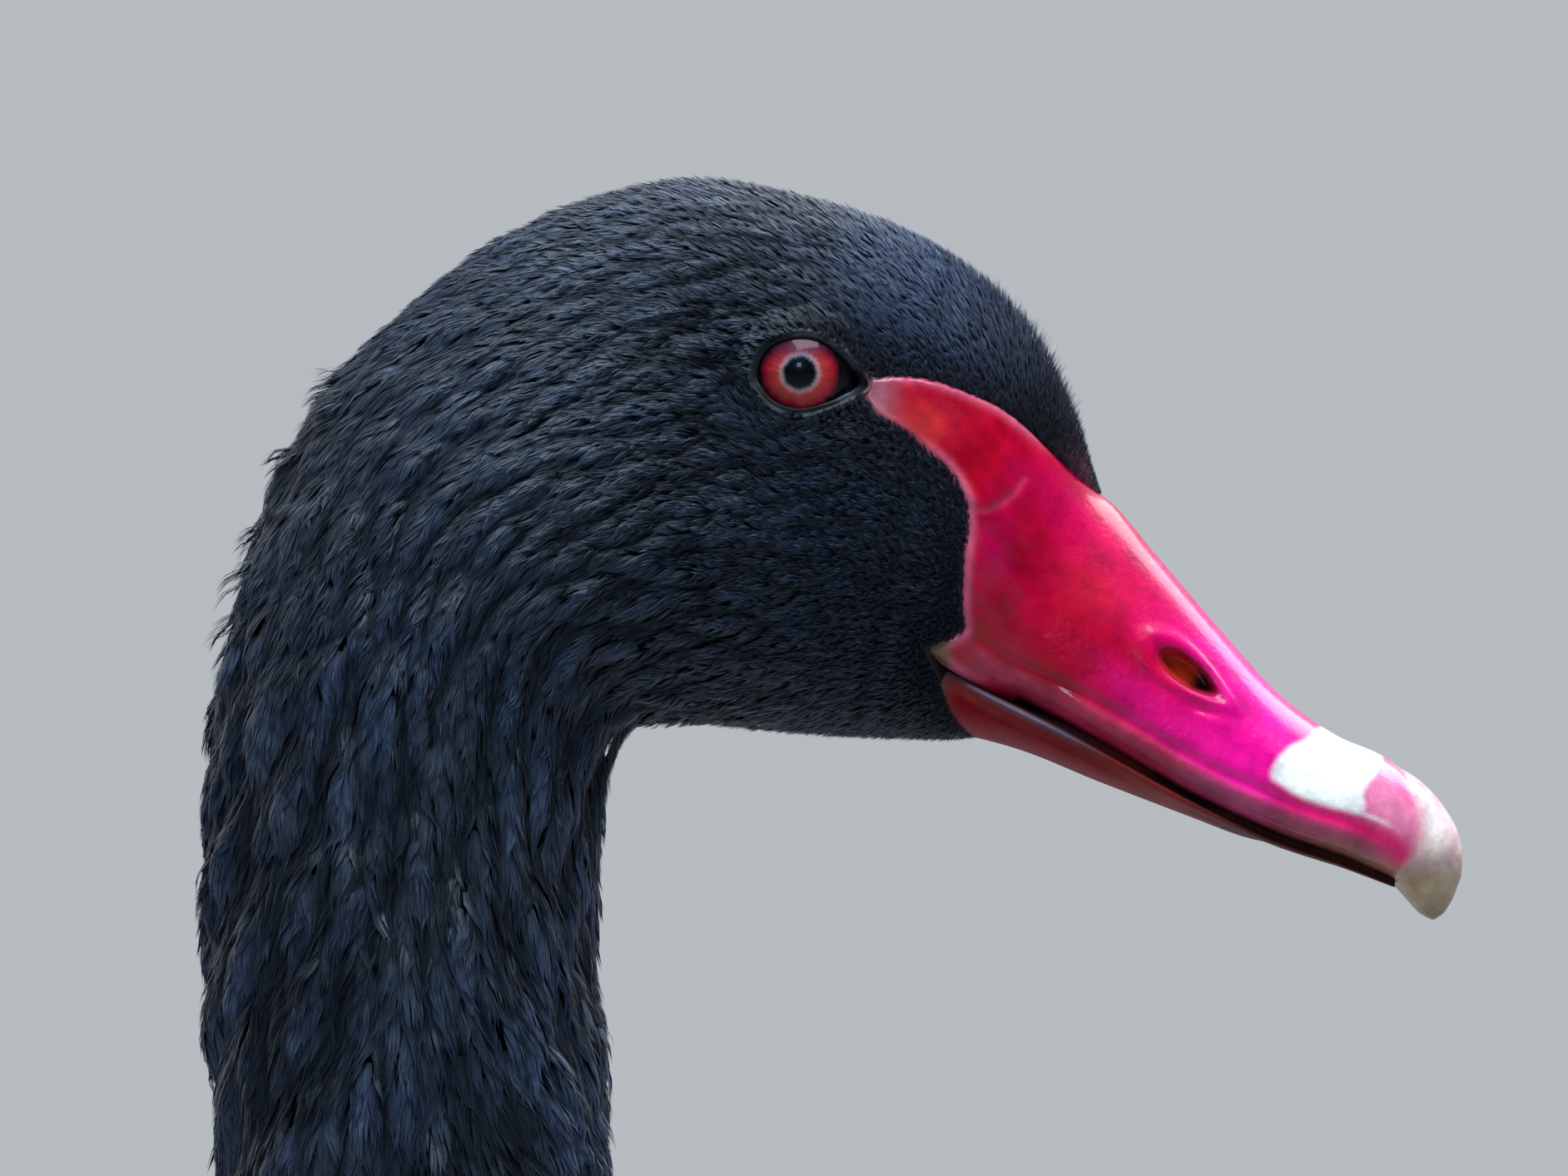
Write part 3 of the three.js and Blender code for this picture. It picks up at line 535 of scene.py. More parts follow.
class Surface:
    """A grid of points round a part of the body, with what is needed to lay feathers over it.

    Rows run the way the feathers lie, and columns run round. Each place also has the coat's depth and the
    length and width of a feather.
    """

    def __init__(self, points, place, sizes):
        self.points, self.place, self.sizes = points, place, sizes
        self.rows, self.columns = points.shape[:2]
        forward = np.gradient(points, axis=0)
        around = (np.roll(points, -1, 1) - np.roll(points, 1, 1)) / 2
        self.along = np.linalg.norm(forward, axis=-1)
        self.across = np.linalg.norm(around, axis=-1)
        normal = np.cross(around, forward)
        normal /= np.linalg.norm(normal, axis=-1, keepdims=True) + 1e-12
        outward = np.sum(normal * (points - points.mean(axis=1, keepdims=True)), axis=-1)
        self.turn = 1.0 if np.median(outward) > 0 else -1.0
        self.normal = normal * self.turn
        self.near = np.concatenate([points, self.normal], axis=-1)
        self.stack = np.concatenate([self.near, self.along[..., None], self.across[..., None],
                                     place[..., None], sizes], axis=-1)

    def sample(self, r, c, near=False):
        """Point and normal, and unless near also steps, place and sizes, at rows r and columns c."""
        stack = self.near if near else self.stack
        last = self.rows - 1
        beyond = np.maximum(r - last, 0)
        r = np.clip(r, 0, last - 0.001)
        r0 = r.astype(int)
        c0 = np.floor(c).astype(int)
        fr, fc = (r - r0)[..., None], (c - c0)[..., None]
        a, b = c0 % self.columns, (c0 + 1) % self.columns
        found = ((stack[r0, a] * (1 - fc) + stack[r0, b] * fc) * (1 - fr)
                 + (stack[r0 + 1, a] * (1 - fc) + stack[r0 + 1, b] * fc) * fr)
        if beyond.any():
            found[..., 0:3] += beyond[..., None] * (stack[last, a, 0:3] - stack[last - 1, a, 0:3])
        return found

    def row_of(self, u):
        return np.interp(u, self.place[:, 0], np.arange(self.rows))

    def plant(self, density, coverage):
        """Roots spread evenly, as rows and columns. Coverage is how many feathers lie over each place."""
        cells = density * self.along * self.across / (self.sizes[..., 1] * self.sizes[..., 2]) * coverage
        count = int(cells.sum())
        first, second = ((0.5 + np.arange(count) * step) % 1 for step in SPREAD)
        by_row = np.concatenate([[0.0], np.cumsum(cells.sum(axis=1))])
        r = np.interp(first * by_row[-1], by_row, np.arange(len(by_row))) - 0.5
        r = np.clip(r, 0, self.rows - 1.001)
        around = np.cumsum(cells, axis=1)
        around = around / np.maximum(around[:, -1:], 1e-12)
        nearest = np.round(r).astype(int)
        c = np.empty(count)
        for start in range(0, count, ROOTS_AT_ONCE):
            part = slice(start, start + ROOTS_AT_ONCE)
            c[part] = (around[nearest[part]] < second[part, None]).sum(axis=1)
        return r, (c + RANDOM.random(count) - 0.5) % self.columns


def evened(swell):
    """Heights on the tube, with their edges rounded off."""
    for _ in range(3):
        swell = (swell + np.roll(swell, 1, 1) + np.roll(swell, -1, 1)) / 3
        padded = np.pad(swell, ((1, 1), (0, 0)), mode="edge")
        swell = (padded[:-2] + padded[1:-1] + padded[2:]) / 3
    return swell


def body_surface():
    """The hide under the whole coat, with its wings, the head's forms and the eyes' sockets."""
    def step(u):
        return 1.3 if u < UPPER_NECK else 2.6 if u < NECK_ROOT - 2 else 4.5

    places = TUBE.places(0.0, float(COVERTS), step)
    u, angle = np.meshgrid(places, round_the_clock(BODY_SIDES), indexing="ij")
    sizes = TUBE.values(u)[..., COAT_VALUES:]
    points = TUBE.at(u, angle, evened(wing_height(u, angle)) - sizes[..., 0])
    head = smoothstep(NECK_TOP, NAPE, u) * np.abs(np.sin(angle)) ** 1.5
    side = np.sign(np.sin(angle))
    points[..., 1] += face_shape(*side_view(points)) * head * side
    wide = np.abs(points[..., 1])
    away = np.hypot(*side_view(points))
    socket = eyeball_side(away, 0.6)
    swell = (socket - wide + np.hypot(wide - socket, 1.4)) / 2
    swell = swell * smoothstep(EYE_RADIUS + 6, EYE_RADIUS + 1, away)
    points[..., 1] = np.where(wide > EYE_RADIUS, wide + swell, wide) * side
    return Surface(points, u, sizes)


def flow(root, u, angle, swirl, clump):
    """How far the feathers turn off the tube's length at roots on it, as an angle."""
    pattern = waves(root[..., 2] / clump, (root[..., 0] + 2 * root[..., 1]) / clump, 1.0)
    fan = 0.25 * np.sin(2 * angle) * smoothstep(NAPE - 1, UPPER_NECK, u)
    return swirl * pattern - fan + eye_turn(root)


def lock_relief(hide):
    """Rounded locks that overlap like shingles, as heights from 0 to 1 over the hide's grid."""
    u = hide.place
    length = np.interp(u, (3, 6, 8, 13), (7, 14, 16, 25))
    width = np.interp(u, (3, 6, 8, 13), (1.8, 3.8, 4.6, 7))
    laid = Surface(hide.points, u, triple(0 * u, length, width))
    r, c = laid.plant(smoothstep(1.5, 3, u) * (1 - smoothstep(12.8, 13.4, u)), 1.9)
    root = laid.sample(r, c)
    yaw = flow(root, root[:, PLACE], c * 2 * np.pi / hide.columns, 0.15, 12.0) + scatter(0.1, len(r))
    high = varied(0.45, 0.55, len(r))
    bend = scatter(0.12, len(r))
    relief = np.zeros(u.shape)
    for k in range(len(r)):
        along, across, size, wide = root[k, [ALONG, ACROSS, LENGTH, WIDTH]]
        i = np.arange(math.ceil(r[k]), int(min(r[k] + size / along, hide.rows - 1)) + 1)[:, None]
        reach = int(wide / across + size * (abs(yaw[k]) + abs(bend[k])) / across) + 1
        j = np.arange(int(c[k]) - reach, int(c[k]) + reach + 1)[None]
        t = (i - r[k]) * along / size
        q = ((j - c[k]) * across - size * t * (np.tan(yaw[k]) + bend[k] * t)) / (wide / 2)
        q = q / np.minimum(0.45 + 1.3 * t, 1.0)
        shape = np.maximum(1 - q * q, 0) * smoothstep(0, 0.6, t) * np.sqrt(np.clip((1 - t) / 0.25, 0, 1))
        j = j % hide.columns
        relief[i, j] = np.maximum(relief[i, j], high[k] * shape * (t < 1))
    return relief


def make_plumage(hide):
    """The hide with the down on it that holds up the outer feathers and lies in locks."""
    u, depth = hide.place, hide.sizes[..., 0]
    relief = lock_relief(hide)
    lock_depth = np.interp(u, (1.5, 3, 5, 7, 9, 12.4, 13.4), (0, 0.2, 0.7, 1.7, 2.3, 2.6, 0))
    within = smoothstep(4.5, 6.5, u) * (1 - smoothstep(11.8, 13.4, u))
    outer = depth + (0.6 + 0.1 * depth - depth) * within
    lift = np.maximum(depth - lock_depth - outer, 0) * within + lock_depth * relief
    sizes = np.concatenate([outer[..., None], hide.sizes[..., 1:], relief[..., None]], axis=-1)
    return Surface(hide.points + hide.normal * lift[..., None], u, sizes)


def limb_rings(stations, side, step, sides, inset=0.0):
    """Level rings down a limb, as rows of points, and how far down each ring is as a share of the limb."""
    share = np.linspace(0, 1, int(abs(stations[0, 0] - stations[-1, 0]) / step) + 1)
    z = np.interp(share * (len(stations) - 1), np.arange(len(stations)), stations[:, 0])[:, None]
    curve = smooth_curve(stations, 8)
    curve = curve[np.argsort(curve[:, 0])]
    x, forward, across = (np.interp(z, curve[:, 0], curve[:, k]) for k in (1, 2, 3))
    turn = round_the_clock(sides)
    return triple(FOOT_X + x + (forward - inset) * np.cos(turn),
                  side * LEG_SIDE + (across - inset) * np.sin(turn), z + FLOOR), share


def shin_surface(side):
    sides = 96
    points, share = limb_rings(SHIN, side, 2.5, sides, SHIN_INSET)
    place = np.tile(share[:, None], sides)
    sizes = triple(1.2 + 3.2 * (1 - place), 8 + 20 * (1 - place), 3.5 + 11 * (1 - place))
    return Surface(points, place, sizes)


def new_material(name, **settings):
    """A material, its nodes and its shader, with the shader's inputs set."""
    material = bpy.data.materials.new(name)
    material.use_nodes = True
    return material, material.node_tree, adjust(material.node_tree.nodes["Principled BSDF"], **settings)


def adjust(made, **settings):
    """Sets a node's settings, and the inputs of the same name, with underscores for spaces."""
    for key, value in settings.items():
        if hasattr(made, key):
            setattr(made, key, value)
        else:
            made.inputs[key.replace("_", " ")].default_value = value
    return made


def node(tree, kind, **settings):
    return adjust(tree.nodes.new("ShaderNode" + kind), **settings)


def stored(tree, name, output="Fac"):
    """A value stored on the points."""
    return node(tree, "Attribute", attribute_name=name).outputs[output]


def coordinates(tree, kind="Object"):
    return node(tree, "TexCoord").outputs[kind]


def noise(tree, scale, detail=3.0, rough=0.6, attribute=None):
    """A noise texture in the object's own space, or over a triple stored on its points."""
    place = stored(tree, attribute, "Vector") if attribute else coordinates(tree)
    made = node(tree, "TexNoise", Scale=scale, Detail=detail, Roughness=rough)
    tree.links.new(place, made.inputs["Vector"])
    return made.outputs["Fac"]


def ramp(tree, source, stops):
    """Colours by a number, as (position, colour) stops. A colour that is one number is a grey."""
    made = node(tree, "ValToRGB")
    elements = made.color_ramp.elements
    while len(elements) < len(stops):
        elements.new(0.5)
    for element, (position, colour) in zip(elements, stops):
        element.position = position
        element.color = (*((colour,) * 3 if isinstance(colour, float) else colour), 1)
    tree.links.new(source, made.inputs["Fac"])
    return made.outputs["Color"]


def mixed(tree, amount, a, b, blend="MIX"):
    """Two colours mixed by an amount that is a number or a socket."""
    made = node(tree, "Mix", data_type="RGBA", blend_type=blend)
    factor, first, second = made.inputs[0], made.inputs[6], made.inputs[7]
    if isinstance(amount, float):
        factor.default_value = amount
    else:
        tree.links.new(amount, factor)
    tree.links.new(a, first)
    tree.links.new(b, second)
    return made.outputs[2]


def multiply(tree, amount, a, b):
    return mixed(tree, amount, a, b, "MULTIPLY")


def roughen(tree, shader, height, strength, distance):
    made = node(tree, "Bump", Strength=strength, Distance=distance)
    tree.links.new(height, made.inputs["Height"])
    tree.links.new(made.outputs["Normal"], shader.inputs["Normal"])


def feather_material(name, dark, light, roughness, specular, streaks=0.8, hues=1.0, tint=(1, 1, 1, 1)):
    """Feathers coloured from dark to light by the points' tone, with fine barbs along their grain."""
    material, tree, shader = new_material(
        name, Roughness=roughness, Specular_IOR_Level=specular, Specular_Tint=tint, Sheen_Weight=0.06,
        Sheen_Roughness=0.4, Sheen_Tint=(0.7, 0.75, 0.95, 1))
    colour = ramp(tree, stored(tree, "tone"), [(0.0, dark), (1.0, light)])
    grain = noise(tree, 1.0, 2.0, 0.6, "grain")
    colour = multiply(tree, streaks, colour, ramp(tree, grain, [(0.32, 0.35), (0.5, 0.9), (0.72, 1.7)]))
    hue = ramp(tree, noise(tree, 45, 2.0), [(0.35, (1.03, 1.0, 0.97)), (0.65, (0.85, 0.97, 1.2))])
    tree.links.new(multiply(tree, hues, colour, hue), shader.inputs["Base Color"])
    roughen(tree, shader, grain, 0.5, 0.0002)
    return material


def painted_material(name, roughness, coat, mottle, cells=None, specular=0.35):
    """Skin or horn in the colours painted on its points, with faint clouds, and small scales if asked."""
    material, tree, shader = new_material(
        name, Roughness=roughness, Specular_IOR_Level=specular, Coat_Weight=coat, Coat_Roughness=0.1)
    clouds = ramp(tree, noise(tree, 210, 6.0, 0.65), [(0.3, (0.55, 0.5, 0.55)), (0.7, (1.2, 1.4, 1.25))])
    colour = multiply(tree, mottle, stored(tree, "paint", "Color"), clouds)
    tree.links.new(colour, shader.inputs["Base Color"])
    if cells:
        scales = node(tree, "TexVoronoi", Scale=cells)
        tree.links.new(coordinates(tree), scales.inputs["Vector"])
        roughen(tree, shader, scales.outputs["Distance"], 0.5, 0.0008)
    else:
        roughen(tree, shader, noise(tree, 900, 5.0, 0.65), 0.35, 0.0003)
    return material


CRIMSON = np.array((0.49, 0.001, 0.036))
MAGENTA = np.array((0.74, 0.003, 0.245))
DEEP_RED = np.array((0.32, 0.0008, 0.009))
PINK = np.array((0.58, 0.11, 0.20))
DUSKY = np.array((0.25, 0.05, 0.08))
WHITE = np.array((0.80, 0.77, 0.76))
BLUSH = np.array((0.74, 0.48, 0.50))
DUSTY = np.array((0.30, 0.11, 0.145))
TAN = np.array((0.40, 0.27, 0.16))
BROWN = np.array((0.19, 0.02, 0.018))
NIGHT = np.array((0.005, 0.005, 0.007))
SLATE = np.array((0.030, 0.029, 0.031))
SCARLET = np.array((0.45, 0.012, 0.01))
BRICK = np.array((0.42, 0.03, 0.025))
HOT_PINK = np.array((0.74, 0.008, 0.11))
CHERRY = np.array((0.40, 0.012, 0.055))
ROSE = np.array((0.70, 0.22, 0.36))
LIP_SHADE_BROWN = np.array((0.24, 0.11, 0.08))
EMBER = np.array((0.5, 0.03, 0.01))
DEEP_SHADE = np.array((0.02, 0.004, 0.004))
LAMELLA_GLEAM_GREY = np.array((0.11, 0.10, 0.14))
CHOCOLATE = np.array((0.075, 0.022, 0.014))
GAPE_BROWN = np.array((0.14, 0.07, 0.05))
LID_SHADOW_SKY_TINT = np.array((0.14, 0.4, 0.9))
LID_GREY = np.array((0.028, 0.038, 0.052))
RIM_REFLECTION_BLUE = np.array((0.10, 0.15, 0.32))


def painted(colour, *layers):
    """Colours of points: over a first colour lie layers, each a colour and its amount at the points."""
    for over, amount in layers:
        colour = colour + (over - colour) * np.clip(amount, 0, 1)[:, None]
    return colour


def nail_side(x, z):
    """How far a place of the side view is in front of the line where the nail starts."""
    line = smooth_curve(NAIL_LINE, 5)
    return x - np.interp(z, line[::-1, 1], line[::-1, 0])


class BillPlace:
    """Where points of the upper bill are among its marks, in the side view."""

    def __init__(self, points):
        x, y, z = points.T
        self.x, self.y, self.z = x, y, z
        self.edge = distance_to_line(x, z, TOMIUM)
        self.feather = signed_distance(x, z, BARE)
        self.flank = smoothstep(2.0, 6.0, np.abs(y))
        self.front = smoothstep(20, 26, x) * (1 - smoothstep(72, 78, x))
        self.crease = distance_to_line(x, z, smooth_curve(CREASE, 6))
        self.nail = nail_side(x, z)
        self.along, self.across = turned_view(x, z, NOSTRIL, BILL_SLOPE)
        self.hole = np.hypot(self.along / 4.6, self.across / (1.65 - 0.1 * self.along))
        self.pit = 1 - smoothstep(0.6, 1.1, self.hole)


def shaped_bill(points, normal, at):
    """The upper bill's points, with its lip, folds, nostril, crease and nail formed."""
    folds = waves(0.9 * at.x, 0.9 * at.z, 1.0) * (1 - smoothstep(24, 36, at.x))
    lip = 0.7 * bell(at.edge, 1.9, 1.5) - 0.4 * bell(at.edge, 4.6, 0.8)
    rim = 0.3 * bell(at.hole, 1.45, 0.35) - 0.22 * bump(at.along, at.across, (4.5, -2.6), (2.2, 0.5), 20)
    move = at.flank * at.front * lip + 0.16 * folds + at.flank * rim
    move -= at.flank * 0.18 * bell(at.crease, 0, 0.7) + 0.11 * bell(at.nail, 0, 0.45)
    tuck = smoothstep(-0.3, 1.6, at.feather) * (1.6 - 1.3 * smoothstep(31, 36, at.x))
    tuck += 3.0 * smoothstep(1.5, 0.6, signed_distance(at.x, at.z, OPENING))
    moved = points + normal * (move - tuck)[:, None]
    moved[:, 1] -= np.sign(at.y) * at.flank * 3.0 * at.pit
    return moved


def bill_colours(normal, at):
    """The upper bill's red and magenta, with its hem, lip, band, nostril and nail."""
    x, z, edge, side = at.x, at.z, at.edge, at.front * at.flank
    ridge = smoothstep(0.6, 0.9, normal[:, 2])
    cheek = smoothstep(13, 7, edge) * smoothstep(2.5, 5, edge) * smoothstep(32, 44, x)
    base = 1 - smoothstep(30, 46, x + 0.35 * (z + 30))
    # Pink hem at the feathers' edge: the skin's own pink at the cheek, a painted highlight along the brow.
    hem = bell(np.minimum(at.feather, 0), 0, 0.7) * (1 - smoothstep(28, 33, x))
    ragged = 0.12 * waves(1.1 * x, 1.3 * z, 4.0)
    band = signed_distance(x, z, smooth_curve(BAND_EDGE, 4, closed=True)) + ragged
    rosy = signed_distance(x, z, np.array(ROSY_PATCH))
    white_line = bell(distance_to_line(x, z, WHITE_LINE), 0, 0.3) * smoothstep(78.6, 73, x)
    tip = smoothstep(-1.6, 1.4, at.nail)
    return painted(
        CRIMSON,
        (MAGENTA, smoothstep(42, 60, x) + 0.3 * waves(0.16 * x + 0.07 * z, 0.21 * z, 2.0)),
        (MAGENTA, 0.25 * bump(x, z, (25, -27), (4, 6))),
        (MAGENTA * 1.2, 0.6 * cheek),
        (CRIMSON, 0.5 * ridge),
        (DEEP_RED, base * (0.7 + 0.3 * waves(0.5 * x, 0.4 * z, 3.0))),
        (SCARLET, 0.6 * bump(x, z, (38, -28), (5, 3), BILL_SLOPE)),
        (PINK, 0.75 * hem),
        (DUSTY, 0.85 * (1 - smoothstep(9.5, 14.5, x))),
        (TAN * 0.35, 0.9 * smoothstep(20.2, 18.4, x) * smoothstep(-33, -35, z)),
        (BRICK, 0.7 * bump(x, z, (15.5, -6.5), (4, 3))),
        (HOT_PINK, 0.75 * smoothstep(57, 66, x) * smoothstep(8, 5, edge)),
        (DUSKY, 0.8 * smoothstep(4.6, 3.0, edge) * side),
        (CHERRY, 0.75 * smoothstep(4.2, 3.0, edge) * smoothstep(54, 42, x) * side),
        (DEEP_RED, 0.85 * bell(edge, 0, 1.1) * at.front),
        (PINK, 0.2 * bell(at.crease, 0, 0.4)),
        (ROSE, 0.85 * smoothstep(1.6, -1.8, rosy)),
        # Brown along the lower edge towards the nail: a painted shade under the lip.
        (LIP_SHADE_BROWN, 0.9 * smoothstep(3.4, 1.2, edge) * smoothstep(56, 72, x)),
        (WHITE * 0.9, 0.8 * white_line),
        (WHITE, smoothstep(0.6, -0.5, band)),
        (DEEP_RED * 0.6, 0.5 * smoothstep(1.5, 1.0, at.hole)),
        (EMBER, at.pit),
        (DEEP_SHADE, at.pit * smoothstep(0.2, 2.2, at.along)),
        (BLUSH, tip),
        (TAN, tip * smoothstep(-59, -66, z)),
        (TAN * 0.55, tip * smoothstep(-66, -70, z) * 0.7),
        (WHITE, 0.5 * tip * bump(x, z, (81.5, -58), (1.3, 5), 20)))


def make_upper_bill():
    """The upper bill, its nail and the bare skin in front of the eye, out of one even surface."""
    head = tube_part(TUBE, 1.5, 96, -0.45, end=NAPE - 1.0)
    horn = tube_part(Loft(UPPER_BILL), 1.2, 80)
    points, triangles, edges = merge_solids([head, horn], 0.34)
    keep = signed_distance(*side_view(points), BARE) < 2.6
    used, triangles, edges = only(points, keep[triangles].all(axis=1), triangles, edges)
    points = relax(points[used], edges, 9)
    x, y, z = points.T
    join = bell(distance_to_line(x, z, BILL_ROOT), 0, 7) * smoothstep(3, 8, np.abs(y))
    join = join * smoothstep(1.0, 4.0, distance_to_line(x, z, TOMIUM))
    points = relax(points, edges, 450, join[:, None], (0.6,))
    normal, at = point_normals(points, triangles), BillPlace(points)
    points, colour = shaped_bill(points, normal, at), bill_colours(normal, at)

    material = painted_material("bill_horn", 0.22, 0.28, 0.85, specular=0.1)
    nail = nail_side(*side_view(points))[triangles].mean(axis=1) > 0
    for name, chosen, slot, replaced in (("bill_upper_horn", ~nail, "bill", "bill_upper"),
                                         ("bill_nail_horn", nail, "nail", "bill_nail")):
        used, piece = only(points, chosen, triangles)
        obj = make_mesh(name, points[used], piece)
        paint(obj, "paint", colour[used])
        finish_piece(obj, material, slot, replaced)


def make_lower_bill():
    """The lower bill. Its inside rises into the upper bill, so only a dark slit of painted shade shows
    between.
    """
    points, faces = tube_part(Loft(LOWER_BILL), 0.5, 72, -0.1)
    x, y, z = points.T
    under = np.interp(x, TOMIUM[:, 0], TOMIUM[:, 1]) - z
    out = np.abs(y) / np.interp(x, LOWER_BILL[:, 0], LOWER_BILL[:, 4])
    inner = smoothstep(0.9, 0.75, out) * smoothstep(2.2, 1.2, under) * smoothstep(25, 44, x)
    ridge = bell(under, 0.9, 0.55)
    points[:, 1] += np.sign(y) * smoothstep(0.35, 0.85, out) * (0.5 * ridge - 0.3 * bell(under, 2.3, 0.5))
    points[:, 2] += 1.8 * inner
    behind = signed_distance(x, z, FEATHERLESS)
    drawn_in = 2.6 * smoothstep(0, 2.5, behind) + 1.2 * smoothstep(34, 26, x) * smoothstep(1.0, 0, under)
    points[:, 1] -= np.sign(y) * np.minimum(drawn_in, np.abs(y))
    colour = painted(
        BROWN,
        (DEEP_RED * 0.6, 0.8 * smoothstep(2.4, 3.6, under) * (1 - smoothstep(46, 60, x))),
        # Blue-grey along the ridge: pale lamellae, with a painted highlight on them.
        (LAMELLA_GLEAM_GREY, 0.9 * ridge * (1 - smoothstep(33, 41, x))),
        (CHOCOLATE, 0.9 * smoothstep(48, 58, x)),
        # Painted shade: black at the top edge and inside, under the upper bill's overhang.
        (NIGHT, np.maximum(smoothstep(0.5, 0.1, under), inner)),
        (GAPE_BROWN, 0.8 * (1 - smoothstep(17.5, 20.5, x))))
    obj = make_mesh("bill_lower_horn", points, faces)
    paint(obj, "paint", colour)
    material = painted_material("lower_bill_horn", 0.5, 0.0, 0.6, specular=0.05)
    finish_piece(obj, material, "lower_bill", "bill_lower")


# The eye's colours from its middle to its rim: pupil, pale ring, red iris and dark edge.
EYE_COLOURS = [(0.27, (0.0015, 0.002, 0.003)), (0.295, (0.02, 0.035, 0.045)), (0.32, (0.16, 0.13, 0.13)),
               (0.35, (0.36, 0.17, 0.16)), (0.41, (0.33, 0.035, 0.033)), (0.57, (0.27, 0.009, 0.016)),
               (0.64, (0.09, 0.003, 0.012)), (0.685, (0.003, 0.002, 0.003))]


def eye_material():
    """A red iris with a pale inner ring round a black pupil, by the points' distance from the middle."""
    material, tree, shader = new_material(
        "red_eye", Roughness=0.3, Specular_IOR_Level=0.05, Coat_Weight=0.2, Coat_Roughness=0.07)
    ragged = node(tree, "Math", operation="MULTIPLY_ADD")
    ragged.inputs[1].default_value = 0.09
    tree.links.new(noise(tree, 1.0, 3.0, 0.6, "grain"), ragged.inputs[0])
    tree.links.new(stored(tree, "tone"), ragged.inputs[2])
    colour = ramp(tree, ragged.outputs["Value"], EYE_COLOURS)
    shade = ramp(tree, noise(tree, 1.6, 3.0, 0.6, "grain"), [(0.3, 0.62), (0.7, 1.35)])
    colour = multiply(tree, 1.0, multiply(tree, 0.6, colour, shade), stored(tree, "paint", "Color"))
    tree.links.new(colour, shader.inputs["Base Color"])
    return material


def make_eyes():
    """The eyeballs, with a slight bulge over the iris, and a painted lid shadow and sky reflection on top.
    """
    material = eye_material()
    rings, sides = 64, 128
    polar = (np.linspace(0.002, 0.999, rings) ** 1.4 * np.pi)[:, None]
    turn = round_the_clock(sides)
    radius = EYE_RADIUS * (1 + 0.035 * bell(polar, 0, 0.55))
    x, z = np.sin(polar) * np.cos(turn) * radius, np.sin(polar) * np.sin(turn) * radius
    away = np.where(polar > np.pi / 2, 1.0, np.hypot(x, z) / EYE_RADIUS)
    # Painted shadow of the lid over the iris's top, made bluer as a painted reflection of the sky.
    shadow = painted(np.ones(3), (LID_SHADOW_SKY_TINT, 0.95 * smoothstep(0.8, 3.6, z).ravel()))
    grain = triple(6 * np.cos(turn), 6 * np.sin(turn), 2.5 * away)
    for name, side in SIDES:
        ball = triple(x, side * (EYE_SIDE + np.cos(polar) * radius), z)
        obj = make_mesh("eyeball_" + name, *round_part(ball))
        paint(obj, "tone", away.ravel())
        paint(obj, "paint", shadow)
        paint(obj, "grain", grain.reshape(-1, 3))
        finish_piece(obj, material, "eye", "eye_" + name)


def skin_side(hide, x, z):
    """The skin's half width at places of the side view near the eye."""
    p = hide.points[hide.place[:, 0] < NAPE, :hide.columns // 2].reshape(-1, 3)
    p = p[(np.hypot(p[:, 0], p[:, 2]) < 16) & (p[:, 1] > 8)]
    weight = np.exp(-((x[:, None] - p[:, 0]) ** 2 + (z[:, None] - p[:, 2]) ** 2) / 1.6)
    return (weight * p[:, 1]).sum(axis=1) / weight.sum(axis=1)


# Rings of a lid, as the distance out from the edge of the eye's opening and the height over that edge.
LID_PROFILE = [(-2.6, -2.6), (-1.2, -1.1), (-0.35, -0.42), (-0.12, -0.1), (0.02, 0.12), (0.2, 0.25),
               (0.42, 0.2), (0.62, 0.02), (0.85, 0.1), (1.1, 0.12), (1.4, 0.0), (1.8, -0.5), (2.3, -1.1),
               (3.0, -1.8)]
LID_SIDES = 144
LID_BEADS = 34  # small beads round the rim of the lids


def lid_points(hide):
    """The left eye's lids: rings from under the eyeball's edge out over the rim to the skin."""
    turn = round_the_clock(LID_SIDES)
    ring = np.concatenate([OPENING, OPENING[:1]])
    angles = np.unwrap(np.arctan2(ring[:, 1], ring[:, 0]))[::-1]
    reach = np.hypot(ring[:, 0], ring[:, 1])[::-1]
    radius = np.interp((turn - angles[0]) % (2 * np.pi) + angles[0], angles, reach)
    skin = skin_side(hide, radius * np.cos(turn), radius * np.sin(turn))
    edge = np.maximum(eyeball_side(radius, least=1.0) + 0.18, skin - 1.4)
    rings = []
    for away, height in LID_PROFILE:
        r = np.maximum(radius + away, 2.5)
        x, z = r * np.cos(turn), r * np.sin(turn)
        sink = smoothstep(0.4, 1.3, away)
        beads = 0.1 * np.sin(LID_BEADS * turn + 6 * away) * bump(away, 0.0, (1.05, 0), (0.3, 1))
        y = (edge + height) * (1 - sink) + (skin_side(hide, x, z) + height + beads + 0.2) * sink
        if away > 0:
            y = np.maximum(y, eyeball_side(r, 0.25))
        rings.append(triple(x, y, z))
    return np.array(rings)


def lid_colours(lids):
    """Dark lids with a ring of grey beads, a dusty front corner and a painted reflection at the lower rim.
    """
    x, z = side_view(lids.reshape(-1, 3))
    away = np.array(LID_PROFILE)[:, 0].repeat(LID_SIDES)
    turn = np.tile(round_the_clock(LID_SIDES), len(lids))
    beads = 0.6 + 0.4 * np.sin(LID_BEADS * turn + 6 * away)
    corner = bump(x, z, (10.2, -2.1), (3.2, 1.8)) * smoothstep(0.7, 1.3, away)
    # A painted reflection on the front of the lower rim.
    rim_reflection = bump(x, z, (6.2, -2.6), (1.6, 0.5), 32) * (away < 0.2)
    return painted(NIGHT, (LID_GREY, 0.9 * bell(away, 1.05, 0.4) * beads), (DUSTY * 0.6, 1.3 * corner),
                   (RIM_REFLECTION_BLUE, 0.8 * rim_reflection))


